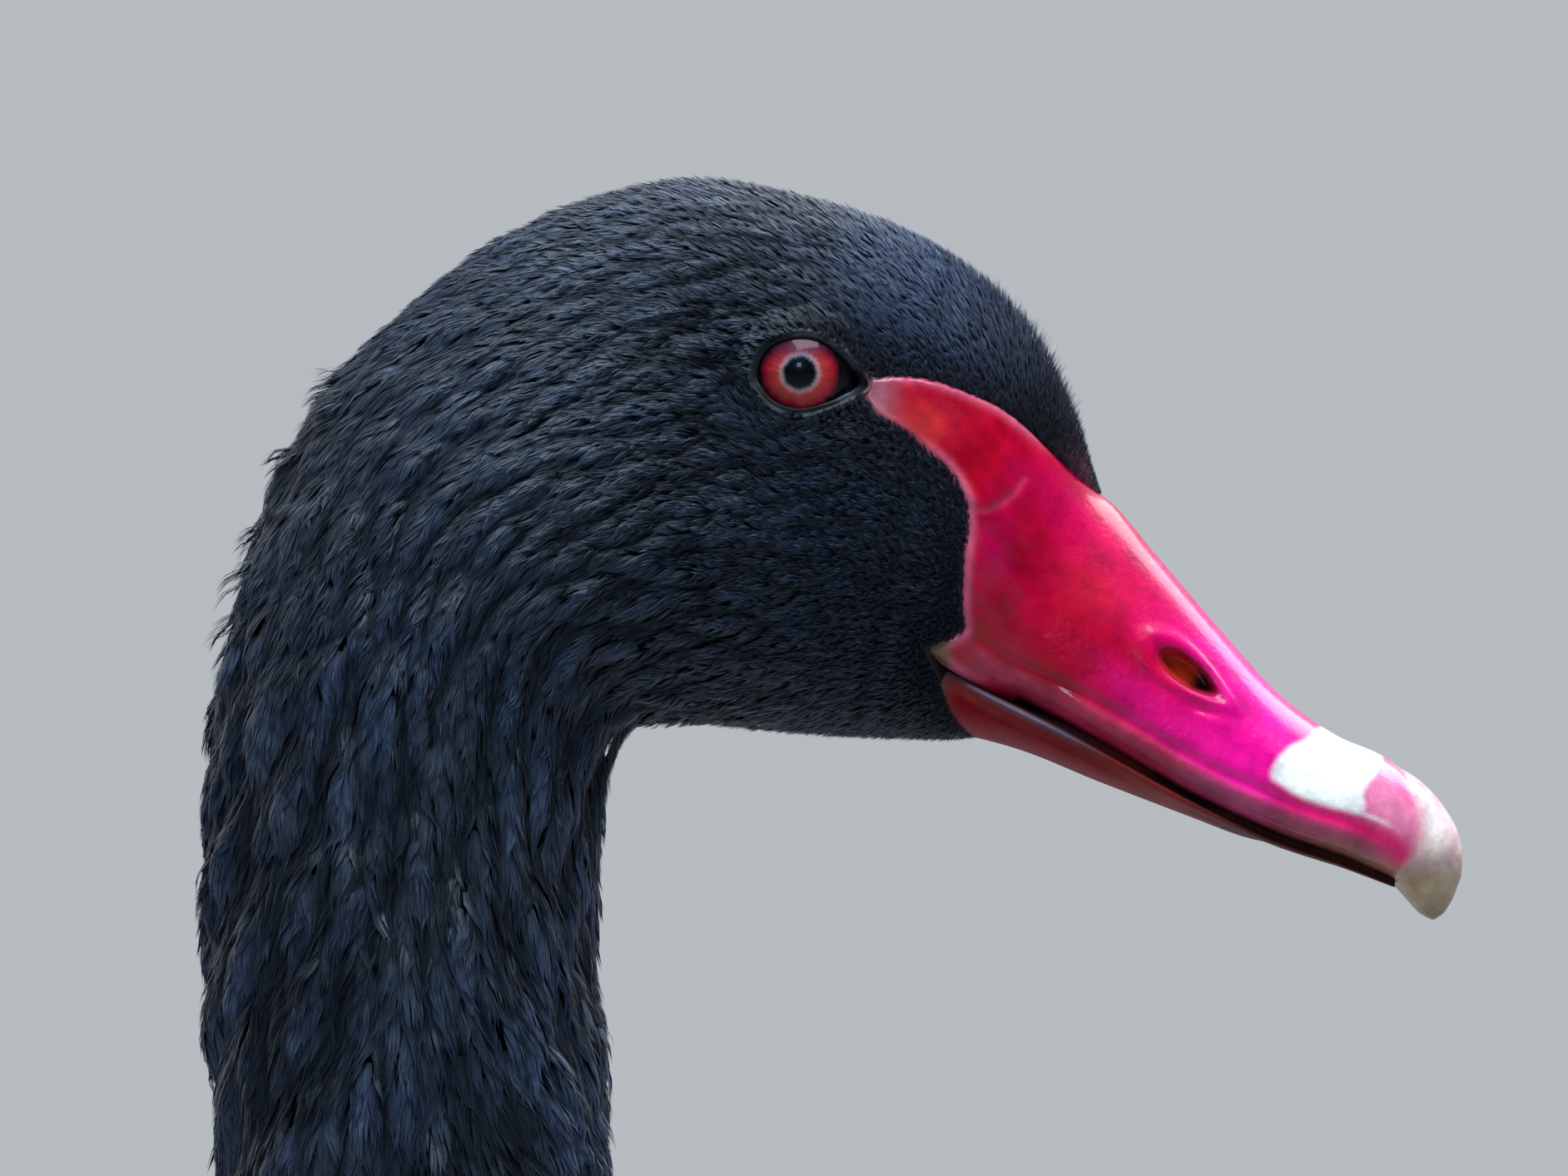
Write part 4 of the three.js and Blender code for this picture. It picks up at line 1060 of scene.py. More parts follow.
def toe_part(turn, length, root, tip):
    """A toe with its joints' swellings and a rounded end, flat below."""
    s = np.linspace(0, 1, TOE_RINGS)[:, None]
    joints = 3 if length > 50 else 1
    height = root + (tip - root) * s + 0.9 * np.cos(2 * np.pi * joints * s) * (1 - 0.3 * s)
    height = height * np.where(s > 0.94, np.sqrt(np.maximum(1 - ((s - 0.94) / 0.065) ** 2, 0.02)), 1)
    angle = round_the_clock(TOE_SIDES)
    up = height * (0.45 + 0.55 * np.cos(angle))
    points = turned(length * s, 0.55 * height * np.sin(angle), np.maximum(up, 0), turn)
    return points, ring_faces(TOE_RINGS, TOE_SIDES)


def web_part():
    """The web between the three front toes as one slab, hollowed at its edge and lightly folded."""
    front = [TOES[name] for name in ("inner", "middle", "outer")]
    turns = [math.radians(toe[0]) for toe in front]
    angle = np.linspace(turns[0], turns[2], WEB_COLUMNS)
    between = np.interp(angle, turns, [0, 1, 2])
    arch = np.sin(np.pi * (between % 1))
    reach = np.interp(angle, turns, [toe[1] * WEB_SHARE for toe in front]) * (1 - WEB_HOLLOW * arch ** 0.8)
    share = np.linspace(0.04, 1, WEB_ROWS)[:, None]
    x, y = share * reach * np.cos(angle), share * reach * np.sin(angle)
    folds = 0.35 * np.sin(9 * between * np.pi) * share
    top = triple(x, y, WEB_THICKNESS - 0.5 * arch * share + folds)
    points = np.concatenate([top, triple(x, y, 0.0)]).reshape(-1, 3)
    return points, slab_faces(WEB_ROWS, WEB_COLUMNS)


def foot_parts():
    """The right foot as closed parts: toes, web and instep. Its root is right under the ankle's middle."""
    shank, _ = limb_rings(SHANK, 0, 3.0, SHANK_SIDES)
    instep = round_part(shank - np.array([FOOT_X, 0, FLOOR]))
    return [toe_part(*toe) for toe in TOES.values()] + [web_part(), instep]


def turned(along, across, up, degrees):
    """Points of a toe or claw, turned outwards on the right foot, where outwards is towards growing y."""
    c, s = math.cos(math.radians(degrees)), math.sin(math.radians(degrees))
    return triple(along * c - across * s, along * s + across * c, up).reshape(-1, 3)


def at_foot(points, side):
    """Points of the right foot moved to a foot of the bird, on either side."""
    return points * np.array([1, side, 1]) + np.array([FOOT_X, side * LEG_SIDE, FLOOR])


def leg_parts(side, foot):
    """The closed parts of a leg: the foot with the shank, and the shin's core."""
    points, triangles = foot
    if side < 0:
        triangles = triangles[:, ::-1]
    rings, _ = limb_rings(SHIN, side, 3.0, SHIN_SIDES, SHIN_INSET)
    return [(at_foot(points, side), triangles), round_part(rings)]


def make_foot():
    points, triangles, edges = merge_solids(foot_parts(), 1.15)
    points = relax(points, edges, 4)
    points[:, 2] = np.maximum(points[:, 2], 0)
    return points, triangles


def outward(points, faces):
    """A closed part with its faces turned to face out."""
    groups = faces if isinstance(faces, list) else [faces]
    p = points[groups[0][:, :3]]
    if np.sum(np.cross(p[:, 0], p[:, 1]) * p[:, 2]) <= 0:
        groups = [group[:, ::-1] for group in groups]
    return points, groups


def body_core(hide):
    """The hide as a closed part, pressed in behind the lids and the bare face."""
    points = hide.points.reshape(-1, 3).copy()
    x, y, z = points.T
    near = smoothstep(2.0, 0.4, signed_distance(x, z, OPENING)) * (np.abs(y) > 10)
    points[:, 1] -= np.sign(y) * 7.0 * near
    bare, _ = face_distances(points)
    points -= hide.normal.reshape(-1, 3) * (3.0 * smoothstep(0.3, -2.0, bare))[:, None]
    return outward(points, ring_faces(hide.rows, hide.columns))


def make_skin(hide):
    """One skin from the bill's base to the toes, with the lids."""
    foot = make_foot()
    legs = [outward(*part) for _, side in SIDES for part in leg_parts(side, foot)]
    points, triangles, _ = merge_solids([body_core(hide)] + legs)
    x, _, z = points.T
    colour = painted(NIGHT, (SLATE, smoothstep(FLOOR + 200, FLOOR + 130, z)),
                     (PINK * 0.8, 0.8 * bump(x, z, (38, -13), (3.2, 3.2))))

    lids = lid_points(hide)
    quads = ring_faces(*lids.shape[:2], closed_ends=False)[0]
    lid_faces = np.concatenate([quads[:, [0, 1, 2]], quads[:, [0, 2, 3]]])
    left_lid = (lids.reshape(-1, 3), lid_faces[:, ::-1])
    right_lid = (left_lid[0] * np.array([1, -1, 1]), lid_faces)
    points, faces = joined([(points, triangles), left_lid, right_lid])
    obj = make_mesh("skin", points, np.concatenate(faces))
    paint(obj, "paint", np.concatenate([colour] + 2 * [lid_colours(lids)]))
    nodes = ["head", "neck_1", "neck_2", "neck_3", "neck_4", "trunk"]
    nodes += [part + side for part in ("wing_", "shin_", "shank_", "foot_") for side in ("left", "right")]
    material = painted_material("dark_skin", 0.5, 0.0, 0.8, cells=420.0, specular=0.2)
    finish_piece(obj, material, "leg", *nodes)


def claw_points(turn, length):
    """A claw of the right foot, at the end of a toe."""
    s = np.linspace(0, 1, CLAW_RINGS)[:, None]
    angle = round_the_clock(CLAW_RINGS)
    size, height = (5, 4) if length < 50 else (10, 5.4)
    thick = height * (1 - 0.84 * s ** 1.3)
    up = 0.45 * height * (1 - s * s) + 0.1 * thick + 0.5 * thick * np.cos(angle)
    along = length - 1.5 + (size + 1.5) * s
    return turned(along, 0.42 * thick * np.sin(angle), np.maximum(up, 0.05), turn)


def make_claws():
    material = painted_material("claw_horn", 0.35, 0.3, 0.8)
    faces = ring_faces(CLAW_RINGS, CLAW_RINGS)
    for name, side in SIDES:
        claws = [at_foot(claw_points(turn, length), side) for turn, length, _, _ in TOES.values()]
        obj = make_mesh("claws_" + name, *joined([outward(points, faces) for points in claws]))
        paint(obj, "paint", np.tile(NIGHT * 2, (len(obj.data.vertices), 1)))
        finish_piece(obj, material, "claw", *(f"claw_{name}_{toe}" for toe in TOES))


def face_distances(points):
    """How far points of the head are from the bare face and from the eye's opening, negative inside."""
    x, y, z = points[..., 0], points[..., 1], points[..., 2]
    bare = np.full(x.shape, 99.0)
    opening = np.full(x.shape, 99.0)
    near = (x > -30) & (z > -70)
    bare[near] = signed_distance(x[near], z[near], FEATHERLESS)
    near &= np.abs(y) > 8
    opening[near] = signed_distance(x[near], z[near], OPENING)
    return bare, opening


def eye_turn(root):
    """How far the feathers near the eye turn to flow round it."""
    x, z = root[:, 0] - 0.8, root[:, 2]
    distance = np.maximum(np.hypot(x, z), 5.0)
    ratio = (5.5 / distance) ** 2
    angle = np.arctan2(z, x)
    turn = np.arctan2(ratio * np.sin(2 * angle), 1 - ratio * np.cos(2 * angle))
    nearby = (distance < 16) & (np.abs(root[:, 1]) > 8)
    # On the bird's left, growing angles run down, and on its right they run up.
    return np.where(nearby, turn * -np.sign(root[:, 1]) * smoothstep(16, 9, distance), 0.0)


def stand_out(root, u, angle):
    """How far the tips stand off the coat: bristles over the bill and a few curled tufts down the nape."""
    chance = RANDOM.random(len(u))
    bristle = 1.5 * smoothstep(0.3, 1.0, u) * smoothstep(3.4, 2.2, u) * chance ** 3
    cluster = smoothstep(0.1, 0.6, waves(root[:, 2] / 1.7, root[:, 1] / 2.6, 2.0))
    curl = 3.8 * smoothstep(6.2, 7.0, u) * smoothstep(8.8, 8.0, u) * cluster * chance ** 1.5
    fringe = 1.2 * smoothstep(8.4, 9.4, u) * smoothstep(13.5, 12, u) * chance ** 10
    return (bristle + curl) * bell(from_back(angle), 0, 0.5) + fringe


def strands(count, rows):
    """A tuft's points as (strand, share of the length, side), and its triangles."""
    along = np.repeat(np.arange(rows + 1) / rows, 2)[:-1]
    side = np.tile([-1.0, 1.0], rows + 1)[:-1]
    side[-1] = 0.0
    faces = []
    for j in range(0, 2 * rows - 2, 2):
        faces += [(j, j + 1, j + 3), (j, j + 3, j + 2)]
    faces.append((2 * rows - 2, 2 * rows - 1, 2 * rows))
    each = 2 * rows + 1
    triangles = repeated(np.array(faces), count, each)
    return np.repeat(np.arange(count), each), np.tile(along, count), np.tile(side, count), triangles


PATCH = 0.003  # how much of the unwrapped skin a feather's patch takes
LEAST_HEIGHT = 0.05  # of a feather's points over the skin
BLACK_SLOT = "black_feather"


def coat_piece(name, surface, r, c, at, faces, tone, grain, material, slot=BLACK_SLOT, nodes=()):
    """Makes a piece of many feathers of one pattern, with their roots at rows r and columns c.

    The pattern's points are at rows, columns and heights of the surface, as feathers by points, and each
    has its side and its share of the feather's length.
    """
    rows, columns, height, side, t = at
    count, each = rows.shape
    place = surface.sample(rows.ravel(), columns.ravel(), near=True)
    points = place[:, 0:3] + place[:, 3:6] * np.maximum(height.ravel(), LEAST_HEIGHT)[:, None]
    faces = repeated(faces, count, each)
    if surface.turn < 0:
        faces = faces[:, ::-1]
    obj = make_mesh(name, points, faces)
    paint(obj, "tone", np.clip(tone, 0, 1).ravel())
    paint(obj, "grain", grain.reshape(-1, 3))
    across = (c / surface.columns * 0.99)[:, None] + PATCH * (side + 1) / 2
    along = ((r - r.min()) / (np.ptp(r) + 1e-6) * 0.99)[:, None] + PATCH * t
    uv = np.stack(np.broadcast_arrays(across, along), axis=-1).reshape(-1, 2)
    layer = obj.data.uv_layers.new(name="OFBake")
    layer.data.foreach_set("uv", uv[faces.ravel()].astype(np.float32).ravel())
    finish_piece(obj, material, slot, *nodes)


# What a tuft looks like: how it lies and spreads, how its strands are shaped, and how pale it is, with
# painted highlights over the brow and on lock crests. Measures across a tuft are shares of half its width,
# and its lift is a share of the coat's depth.
PLAIN_TUFT = {"clump": 12.0, "swirl": 0.15, "yaw": 0.07, "bend": 0.1, "roll": 0.12, "lift": 0.2,
              "fan": 0.8, "round": 0.25, "taper": 0.7, "camber": 0.2, "tone": 0.3, "fleck": 0.4,
              "crest_highlight": 0.15, "streak": 0.16, "rise": 0.07, "full": 1.3, "size": 1.0, "painted_sheen": 0.0}


def own_grain(count):
    """A number that sets each feather's grain apart from the next one's."""
    return 7.0 * np.arange(count)[:, None] % 97


def tuft_roots(surface, density, coverage, size):
    """Roots off the bare face and the eye: rows, columns, samples, and how far off they are."""
    r, c = surface.plant(density, coverage / size ** 2)
    root = surface.sample(r, c)
    root[:, [LENGTH, WIDTH]] *= size
    bare, opening = face_distances(root[:, 0:3])
    keep = (bare > 0.2) & (opening > 0.75)
    return r[keep], c[keep], root[keep], np.minimum(bare, opening)[keep]


def tuft_tone(root, count, number, t, look):
    """How pale each point is: towards the tips, in flecks, and in painted highlights on the brow and lock
    crests.
    """
    n = len(root)
    # Painted sheen: tufts paler the higher they sit above the brow.
    over_brow = smoothstep(0, 14, root[:, 2] + 0.45 * root[:, 0] - 5.6)
    pale = look["tone"] * RANDOM.random(n) ** 2 + look["painted_sheen"] * over_brow * varied(0.5, 1.0, n)
    tone = pale[:, None] + look["fleck"] * RANDOM.random((n, count)) ** 5
    # Painted highlight along the crests of the locks.
    on_lock = (root[:, RELIEF, None] - 0.3) * np.sin(np.pi * 0.85 * t)
    return tone[:, number] * (0.1 + 0.9 * t ** 2) + look["crest_highlight"] * on_lock


def tufts(name, surface, density, coverage, count, rows, material, **changes):
    """Lays tufts of narrow strands along a surface, as one piece."""
    look = {**PLAIN_TUFT, **changes}
    r, c, root, edge = tuft_roots(surface, density, coverage, look["size"])
    n = len(r)
    u, depth, length, width = root[:, PLACE:RELIEF].T
    angle = c * 2 * np.pi / surface.columns
    short = 0.5 + 0.5 * smoothstep(0.3, 6.0, edge)
    length = (length * short * varied(0.8, 0.4, n))[:, None]
    width = (width * varied(0.8, 0.4, n))[:, None]
    depth = depth * varied(0.85, 0.3, n) * (0.6 + 0.4 * short)

    yaw = (flow(root, u, angle, look["swirl"], look["clump"]) + scatter(look["yaw"], n))[:, None]
    bend = scatter(look["bend"], n)[:, None]
    roll = scatter(look["roll"], n)[:, None]
    lift = (depth * look["lift"] * RANDOM.random(n) ** 2 + stand_out(root, u, angle))[:, None]

    number, t, side, triangles = strands(count, rows)
    place = (np.arange(count) + 0.5) / count * 2 - 1
    at_root = 0.6 * place + scatter(0.1, (n, count))
    at_tip = look["fan"] * place + scatter(0.15, (n, count))
    share = (1 - look["round"] * place ** 2) * varied(0.84, 0.22, (n, count))
    thick = look["full"] / count * varied(0.8, 0.4, (n, count))
    rise = scatter(look["rise"], (n, count))

    shape = np.where(t < 1, 1 - look["taper"] * t ** 2, 0.0)
    belly = 1 + 0.5 * np.sin(np.pi * np.minimum(t * 1.2, 1))
    across = (at_root[:, number] * (1 - t) + at_tip[:, number] * t) * belly
    across = (across + thick[:, number] * side * shape) * (width / 2)
    along = t * share[:, number] * length
    grain = triple(across / look["streak"], along / (14 * look["streak"]), own_grain(n))
    height = depth[:, None] * (0.12 + 0.88 * t ** 0.8 + rise[:, number] * t)
    height += lift * smoothstep(0.1, 1.0, t)
    height += roll * across * t - look["camber"] * across ** 2 / width * 2
    across = across + bend * along * t
    at_rows = r[:, None] + (along * np.cos(yaw) - across * np.sin(yaw)) / root[:, ALONG, None]
    at_columns = c[:, None] + (along * np.sin(yaw) + across * np.cos(yaw)) / root[:, ACROSS, None]
    coat_piece(name, surface, r, c, (at_rows, at_columns, height, side, t), triangles,
               tuft_tone(root, count, number, t, look), grain, material)


# What a feather looks like. It starts and ends at shares of the coat's depth. Its curl, ruffle, thickness,
# shaft and barbs are lengths, and the others are shares.
PLAIN_VANE = {"start": 0.5, "end": 1.0, "curl": 0.0, "ruffle": 0.0, "camber": 0.12, "edge": 0.3,
              "tone": 0.1, "ragged": 0.1, "barb": 0.45, "point": 0.35, "thick": 0.0, "shaft": 0.15,
              "pale": 0.0, "pale_from": 0.0}


def vane_grid(rows, columns):
    """How far along its feather and how far to its side each point of a vane is."""
    t = np.repeat(np.linspace(0, 1, rows + 1), columns + 1)
    return t, np.tile(np.linspace(-1, 1, columns + 1), rows + 1)


def shaft_paths(surface, r, c, yaw, length, rows):
    """The shafts over the surface: rows, columns, and the surface's steps there, as feathers by places."""
    r, c = np.array(r, float), np.array(c, float)
    path, step = [], length / rows
    for _ in range(rows + 1):
        here = surface.sample(r, c)
        along, across = here[:, ALONG], here[:, ACROSS]
        path.append((r, c, along, across))
        r = r + step * np.cos(yaw) / along
        c = c + step * np.sin(yaw) / across
    return [np.stack(values, axis=1) for values in zip(*path)]


def vane_height(depth, across, side, t, look):
    """How high the points of feathers stand over the skin, with their camber, ruffles and curled tips."""
    n = len(depth)
    phase = RANDOM.random((n, 1)) * 6.3
    rise = look["start"] + (look["end"] - look["start"]) * t ** 0.7 + scatter(0.08, (n, 1)) * t
    wave = np.sin(phase + 9.5 * t * (1 + 0.3 * np.sin(phase)) + 1.4 * side)
    wave = look["ruffle"] * wave * (0.15 + 0.85 * side ** 2) * smoothstep(0.1, 0.5, t)
    height = depth * rise + look["shaft"] * (np.abs(side) < 0.01) * (1 - t)
    height = height - look["camber"] * np.abs(across) * np.abs(side) + wave
    return height + look["curl"] * t ** 3 * varied(0.6, 0.8, (n, 1))


def vane_tone(n, side, t, look):
    """How pale the points of feathers are, with their borders paler and their roots dark."""
    border = np.maximum(smoothstep(0.72, 0.98, np.abs(side)), smoothstep(0.8, 1.0, t))
    tone = look["tone"] * RANDOM.random((n, 1)) ** 1.5 + look["edge"] * border * varied(0.4, 0.6, (n, 1))
    return (look["pale"] + tone) * smoothstep(look["pale_from"], look["pale_from"] + 0.3, t)


def vanes(name, surface, roots, size, grid, material, slot=BLACK_SLOT, nodes=(), **changes):
    """Lays feathers with a vane on each side of a shaft along a surface, as one piece.

    Roots are rows, columns and turns, a size is lengths and widths, and a grid is rows and columns.
    """
    look = {**PLAIN_VANE, **changes}
    (r, c, yaw), (length, width), (rows, columns) = roots, size, grid
    n = len(r)
    t, side = vane_grid(rows, columns)
    paths = shaft_paths(surface, r, c, yaw, length, rows)
    at_rows, at_columns, along_step, across_step = (path.repeat(columns + 1, axis=1) for path in paths)
    length, width, yaw = length[:, None], width[:, None], yaw[:, None]

    ragged = 1 - look["ragged"] * RANDOM.random((n, columns + 1)) ** 1.5
    tip = 1 - (1 - np.sqrt(np.maximum(1 - (look["point"] * side) ** 2, 0))) * 2.0
    back = (1 - np.tile(ragged, (1, rows + 1)) * tip) * smoothstep(0.45, 1.0, t) * length
    narrow = np.sqrt(np.clip(1.02 - np.maximum(t - 0.55, 0) ** 2 / 0.26, 0.08, 1))
    across = side * (np.sqrt(np.minimum(t / 0.3 + 0.02, 1)) * narrow) * (width / 2)
    at_rows = at_rows - (across * np.sin(yaw) + back * np.cos(yaw)) / along_step
    at_columns = at_columns + (across * np.cos(yaw) - back * np.sin(yaw)) / across_step
    depth = surface.sample(np.array(r, float), np.array(c, float))[:, DEPTH, None]
    height = vane_height(depth, across, side, t, look)
    barb = (t * length - 0.9 * np.abs(across)) / look["barb"]
    grain = triple(barb, np.abs(across) / 6 + 5 * (side > 0), own_grain(n))
    tone = vane_tone(n, side, t, look)

    faces = sheet_faces(rows + 1, columns + 1)
    if look["thick"]:
        faces = slab_faces(rows + 1, columns + 1)
        height = np.concatenate([height, height - look["thick"]], axis=1)
        at_rows, at_columns, tone, grain = (
            np.concatenate([v, v], axis=1) for v in (at_rows, at_columns, tone, grain))
        side, t = np.tile(side, 2), np.tile(t, 2)
    at = (at_rows, at_columns, height, side, t)
    coat_piece(name, surface, r, c, at, faces, tone, grain, material, slot, nodes)


def band(surface, start, end, blend):
    """The density of a stretch of the tube whose ends thin out into the next."""
    u = surface.place
    first = smoothstep(start - blend, start + blend, u) if start > 0 else np.ones_like(u)
    return first * (1 - smoothstep(end - blend, end + blend, u))


def contour_feathers(name, surface, density, coverage, material, swirl=0.0, **changes):
    """Covers a stretch of a surface with feathers of the sizes given for it."""
    r, c = surface.plant(density, coverage)
    root = surface.sample(r, c)
    n = len(r)
    along, across, place, length, width = root[:, [ALONG, ACROSS, PLACE, LENGTH, WIDTH]].T
    r = np.clip(r + scatter(0.14 * length / along, n), 0, surface.rows - 1.001)
    c = c + scatter(0.18 * width / across, n)
    size = length * varied(0.8, 0.4, n), width * varied(0.8, 0.4, n)
    yaw = scatter(0.11, n)
    if swirl:
        yaw = yaw + flow(root, place, 2 * np.pi * c / surface.columns, swirl, 9.0)
    vanes(name, surface, (r, c, yaw), size, (6, 8), material, camber=0.1, **changes)


FACE = {"clump": 3.0, "lift": 0.3, "roll": 0.25, "fleck": 0.8, "tone": 0.25, "streak": 0.1, "size": 0.72,
        "painted_sheen": 2.2}
FINE = {"lift": 0.25, "roll": 0.15, "fleck": 0.6, "tone": 0.24, "streak": 0.12, "size": 0.8, "crest_highlight": 0.5,
        "painted_sheen": 0.4}
FIBRES = {"lift": 0.2, "roll": 0.1, "fleck": 0.2, "tone": 0.1, "fan": 0.65, "full": 1.5}
LOOSE = {"start": 0.45, "ragged": 0.07, "edge": 0.26, "tone": 0.1, "barb": 0.8, "ruffle": 0.35,
         "swirl": 0.12, "point": 0.5}
# The tufted stretches, each from a place to a place, with how far its ends blend, how many tufts lie over
# each place, the strands and rows of a tuft, and its look.
TUFTED = (("coat_face", (0, 3.8, 0.12), 3.8, 3, 2, FACE),
          ("coat_crown", (3.8, 6.0, 0.2), 4.0, 4, 3, FINE),
          ("coat_nape", (6.0, 7.9, 0.2), 4.0, 5, 3, FINE),
          ("coat_neck_top", (7.9, 10.2, 0.12), 4.2, 5, 3, {**FIBRES, "crest_highlight": 1.1}),
          ("coat_neck", (10.2, 12.9, 0.6), 3.4, 5, 3, {**FIBRES, "crest_highlight": 0.45}))


def make_coat(hide, black):
    """Tufts down to the neck's base, then feathers over the trunk and the shins."""
    bare, _ = face_distances(hide.points)
    denser = 1 + 0.8 * bell(np.maximum(bare, 0), 0, 1.5)
    for name, stretch, coverage, count, rows, look in TUFTED:
        density = band(hide, *stretch) * (denser if name == "coat_face" else 1)
        tufts(name, hide, density, coverage, count, rows, black, **look)
    contour_feathers("coat_breast", hide, band(hide, 12.5, 16.5, 0.5), 3.8, black, **LOOSE)
    contour_feathers("coat_trunk", hide, band(hide, 16.5, 23.2, 0.12), 3.8, black, **LOOSE)
    for name, side in SIDES:
        shin = shin_surface(side)
        density = smoothstep(1.01, 0.93, shin.place)
        contour_feathers("coat_shin_" + name, shin, density, 4.0, black, start=0.15, edge=0.12, ragged=0.2)


def lay(label, hide, wing, place, degrees, turn, size, grid, material, **settings):
    """Lays feathers of a folded wing with their roots at places and degrees from the back line."""
    name, side = wing
    c = (side * degrees / 360 * hide.columns) % hide.columns
    roots = (hide.row_of(place), c, side * turn)
    vanes(f"{label}_feathers_{name}", hide, roots, size, grid, material, **settings)


def lay_primaries(hide, white, wing):
    """The white flight feathers that show along the wing's lower rear edge."""
    k = np.arange(5)
    start = LOIN + 0.6 - 0.1 * k
    lay("primary", hide, wing, start, np.degrees(tertial_edge(start)) + 1 + 4.0 * k,
        np.radians(-4 - 1.7 * k), (150 - 13.0 * k, np.full(5, 18.0)), (20, 8), white, slot="white_feather",
        nodes=("primaries_" + wing[0],), start=-0.8, end=1.4, tone=0.15, edge=0.1, thick=0.5, ragged=0.03,
        point=0.75, barb=1.2, shaft=0.6, pale=0.85, pale_from=0.42)


def lay_tiers(hide, black, wing):
    """The secondaries, and the greater coverts over them."""
    k = np.arange(-1, 7, 0.5)
    n = len(k)
    for label, ahead, length in (("secondary", 0.6, 104 - 6.5 * k), ("greater_covert", 1.1, 84 - 2.0 * k)):
        start = LOIN + 0.6 - 0.1 * k - ahead + scatter(0.05, n)
        lay(label, hide, wing, start, np.degrees(tertial_edge(start)) + 3 + 4.4 * k + scatter(0.8, n),
            np.radians(-3 - 1.3 * k) + scatter(0.03, n), (length, varied(25, 5, n)), (18, 10), black,
            start=0.6, end=1.75 - 0.4 * ahead, edge=0.25, point=0.55, ragged=0.06, ruffle=0.6, barb=1.0)


def lay_tertials(hide, black, wing):
    """The ruffled feathers over the back, in three tiers."""
    tiers = []
    for ahead, count, low, size in ((2.0, 7, 46, 92), (1.2, 8, 56, 90), (0.3, 9, 62, 84)):
        share = (np.arange(count) + 0.5) / count
        place = TERTIALS_FROM + ahead + 0.5 * share ** 2 + scatter(0.12, count)
        tiers.append((place, 7 + (low - 7) * share, size * (1 - 0.12 * share) * varied(0.9, 0.2, count)))
    place, degrees, length = np.concatenate(tiers, axis=1)
    n = len(place)
    lay("tertial", hide, wing, place, degrees, np.radians(3 - 0.12 * degrees) + scatter(0.09, n),
        (length, varied(26, 8, n)), (26, 14), black, nodes=("tertials_" + wing[0],), start=0.4, end=1.7,
        ruffle=3.4, curl=4.5, edge=0.25, thick=0.5, camber=0.1, point=0.6, ragged=0.1, barb=1.1)


def lay_coverts(hide, black, wing):
    """The small feathers over the front of the wing, in five rows from its lower edge up."""
    rows = []
    for lower, size in ((0.94, 56), (0.78, 50), (0.6, 46), (0.42, 42), (0.24, 38)):
        place = np.linspace(WING_FROM + 0.35, LOIN + 0.9, 16) + scatter(0.17, 16)
        rows.append((place, lower + scatter(0.05, 16), size * varied(0.88, 0.24, 16)))
    place, share, length = np.concatenate(rows, axis=1)
    upper, lower = wing_edges(place)
    lay("covert", hide, wing, place, np.degrees(upper + (lower - upper) * share),
        0.02 + scatter(0.11, len(place)), (length, 0.48 * length), (12, 12), black, start=0.4, end=1.2,
        edge=0.28, point=0.5, ragged=0.07, ruffle=0.6, tone=0.12, barb=1.0)


def make_wings(hide, black, white):
    """The long feathers of the folded wings, in tiers, each over the one behind and below it."""
    for wing in SIDES:
        lay_primaries(hide, white, wing)
        lay_tiers(hide, black, wing)
        lay_tertials(hide, black, wing)
        lay_coverts(hide, black, wing)


TAIL_FEATHERS = 14
TAIL_LENGTH = 110  # of the middle feathers
TAIL_FAN = 19  # degrees of turn at the fan's sides
TAIL_HALF_WIDTH = 11  # of a feather
TAIL_HIDDEN = 22  # how much of a feather is under the coverts
TAIL_ROOT = (-552, 47, -572)  # where the coverts end, forward, half across and up


def make_tail(black):
    """The tail feathers, fanned out behind the coverts, with the middle pair over the outer ones."""
    count, rows, columns = TAIL_FEATHERS, 24, 8
    across = (np.arange(count) + 0.5) / count * 2 - 1
    across = across[np.argsort(-np.abs(across), kind="stable")][:, None]
    t, side = vane_grid(rows, columns)
    length = TAIL_LENGTH * (1 - 0.27 * across ** 2)
    turn = np.radians(TAIL_FAN * across)
    end = np.sqrt(np.clip(1.01 - np.maximum(t - 0.75, 0) ** 2 / 0.0625, 0.01, 1))
    half = TAIL_HALF_WIDTH * np.minimum(t / 0.15 + 0.3, 1) * end
    reach = length * t - TAIL_HIDDEN
    x = TAIL_ROOT[0] - reach * np.cos(turn) + side * half * np.sin(turn)
    y = TAIL_ROOT[1] * across + reach * np.sin(turn) + side * half * np.cos(turn)
    layer = (np.arange(count) / count * 4)[:, None]
    z = TAIL_ROOT[2] - 7 * across ** 2 - 0.16 * reach + layer - 1.0 * side ** 2 + 0.5 * (side == 0)
    top = triple(x, y, z)
    points = np.concatenate([top, top - np.array([0, 0, 0.6])], axis=1)
    faces = repeated(slab_faces(rows + 1, columns + 1), count, points.shape[1])
    obj = make_mesh("tail_feathers", points.reshape(-1, 3), faces)
    border = 0.2 * np.maximum(smoothstep(0.7, 1.0, np.abs(side)), smoothstep(0.9, 1.0, t)) + 0.02
    paint(obj, "tone", np.tile(border, 2 * count))
    barb = (length * t - 0.9 * np.abs(side * half)) / 0.5
    grain = triple(barb, np.abs(side) * 2 + 5 * (side > 0), 17.0 * np.arange(count)[:, None])
    paint(obj, "grain", np.concatenate([grain, grain], axis=1).reshape(-1, 3))
    finish_piece(obj, black, BLACK_SLOT, "tail")


FLOOR_REACH = 18000.0
